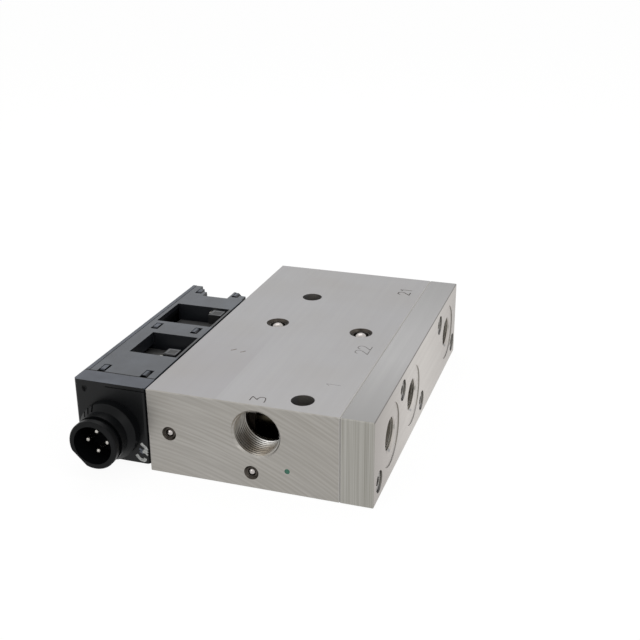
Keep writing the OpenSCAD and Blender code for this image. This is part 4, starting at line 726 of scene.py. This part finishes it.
# Small shield-shaped gate mark on the housing's front, sunk inside its rim
gateSettings = {
    "centre": (-30.5, 35.2), "face": 0.82, "height": 0.15, "rim": 0.35, "sunk": 0.13,
    "outline": [(-1.0, 1.5), (1.0, 1.5), (1.2, 0.2), (0.7, -1.1), (0.0, -1.6), (-0.7, -1.1), (-1.2, 0.2)],
}
centreX, centreZ = gateSettings["centre"]
shape = bmesh.new()
shape.faces.new([shape.verts.new(at(centreX + x, gateSettings["face"], centreZ + z))
                 for x, z in gateSettings["outline"]])
pushOut(shape, (0, -gateSettings["height"] / 1000, 0))
foremost = min(shape.faces, key=lambda face: face.calc_center_median().y)
bmesh.ops.inset_region(shape, faces=[foremost], thickness=gateSettings["rim"] / 1000)
bmesh.ops.translate(shape, vec=(0, gateSettings["sunk"] / 1000, 0), verts=foremost.verts)
placePiece("gateMark", shape, gateFinish, 20)

# Green inspection dot on the block's front
dotSettings = {"centre": (64.3, 0, 11.0), "radius": 1.2, "thickness": 0.06}
dotPlace = Matrix.Translation(at(*dotSettings["centre"]))
dotSize = Matrix.Diagonal((dotSettings["radius"], dotSettings["thickness"], dotSettings["radius"], 1))
shape = bmesh.new()
bmesh.ops.create_icosphere(shape, subdivisions=3, radius=0.001)  # one millimetre, then flattened
bmesh.ops.transform(shape, matrix=dotPlace @ dotSize, verts=shape.verts)
placePiece("inspectionDot", shape, greenPaint, 60)

# White brush strokes on the housing's front, thick and thin
strokeSettings = {
    "face": 0.8, "thickness": 0.16,  # as a share of the stroke's width
    "pieces": {  # name: finish, then strokes as half width and (x, z) points
        "paintStrokes": (whitePaint, [
            (0.72, [(-4.5, 12.3), (-3.3, 11.2), (-2.2, 10.2), (-1.8, 9.2)]),
            (0.85, [(-3.0, 9.6), (-2.4, 8.6), (-1.9, 7.8)]),
            (0.62, [(-4.0, 8.4), (-2.8, 8.0), (-1.8, 8.6)]),
            (0.45, [(-2.6, 8.0), (-2.0, 7.2), (-1.6, 6.7)]),
            (0.74, [(-7.1, 6.3), (-6.0, 4.9), (-4.7, 4.0), (-3.3, 4.0), (-2.8, 5.1)])]),
        "thinStrokes": (thinPaint, [
            (0.45, [(-5.5, 9.6), (-4.7, 9.1), (-3.9, 8.9)]),
            (0.45, [(-5.4, 8.2), (-4.5, 7.8), (-3.8, 7.2)])]),
    },
}
paintFace = at(0, strokeSettings["face"], 0)
flatten = (Matrix.Translation(paintFace) @ Matrix.Diagonal((1, strokeSettings["thickness"], 1, 1)) @
           Matrix.Translation(-paintFace))
for name, (finish, strokes) in strokeSettings["pieces"].items():
    shape = bmesh.new()
    for halfWidth, stroke in strokes:
        part = strokeShape([at(x, strokeSettings["face"], z) for x, z in stroke], halfWidth / 1000)
        bmesh.ops.transform(part, matrix=flatten, verts=part.verts)
        mesh = bpy.data.meshes.new("stroke")
        part.to_mesh(mesh)
        part.free()
        shape.from_mesh(mesh)
        bpy.data.meshes.remove(mesh)
    placePiece(name, shape, finish, 60)
print("paint and moulded details placed")


# Floor, light and background

def directRays(tree):  # 1 for what the camera, a reflection or a clear surface sees, 0 for what only lights
    rays = addNode(tree, "LightPath")
    seen = rays.outputs["Is Camera Ray"]
    for kind in ("Is Glossy Ray", "Is Transmission Ray"):
        seen = addNode(tree, "Math", {"operation": "MAXIMUM"}, {0: seen, 1: rays.outputs[kind]})
    return seen


stageSettings = {
    "floorHalf": 4.0, "floorDrop": 0.0002,  # metres
    "floorColour": "#f2f2f0", "whiteShare": 0.9, "whiteStrength": 1.04,
    "skyLight": 0.6, "skySeen": 1.0,
    "lampAim": (0, 0, 0.02),
    "lamps": {  # name: place and size in metres, watts
        "keyLamp": ((0.75, -0.35, 0.75), 0.5, 2.2),
        "topLamp": ((-0.25, 0.45, 0.9), 0.7, 1.6),
        "frontLamp": ((-0.35, -0.9, 0.5), 0.6, 1.6),
    },
}


def paleFloor():
    # Pale studio floor that the camera and reflections see as white, with the object's soft shadow
    made = bpy.data.materials.new("paleFloor")
    made.use_nodes = True
    tree = made.node_tree
    tree.nodes.clear()
    share = addNode(tree, "Math", {"operation": "MULTIPLY", 1: stageSettings["whiteShare"]},
                    {0: directRays(tree)})
    soft = addNode(tree, "BsdfDiffuse", {"Color": linear(stageSettings["floorColour"])})
    white = addNode(tree, "Emission", {"Color": (1, 1, 1, 1), "Strength": stageSettings["whiteStrength"]})
    both = addNode(tree, "MixShader", None, {0: share, 1: soft, 2: white})
    addNode(tree, "OutputMaterial", None, {"Surface": both})
    return made


shape = bmesh.new()
bmesh.ops.create_grid(shape, x_segments=1, y_segments=1, size=stageSettings["floorHalf"])
floorMesh = bpy.data.meshes.new("floor")
shape.to_mesh(floorMesh)
shape.free()
floor = bpy.data.objects.new("floor", floorMesh)
floor.location = (0, 0, -stageSettings["floorDrop"])
floor.data.materials.append(paleFloor())
bpy.context.collection.objects.link(floor)

world = bpy.data.worlds.new("studio")
bpy.context.scene.world = world
world.use_nodes = True
skyTree = world.node_tree
skyTree.nodes.clear()
skyStrength = addNode(skyTree, "MapRange", {
    "To Min": stageSettings["skyLight"], "To Max": stageSettings["skySeen"]}, {"Value": directRays(skyTree)})
sky = addNode(skyTree, "Background", {"Color": (1, 1, 1, 1)}, {"Strength": skyStrength})
addNode(skyTree, "OutputWorld", None, {"Surface": sky})

for lampName, (place, size, watts) in stageSettings["lamps"].items():
    lamp = bpy.data.objects.new(lampName, bpy.data.lights.new(lampName, "AREA"))
    lamp.data.size = size
    lamp.data.energy = watts
    lamp.location = place
    aim = Vector(stageSettings["lampAim"]) - Vector(place)
    lamp.rotation_euler = aim.to_track_quat("-Z", "Y").to_euler()
    bpy.context.collection.objects.link(lamp)
bpy.context.scene.view_settings.view_transform = "Standard"
print("stage ready")
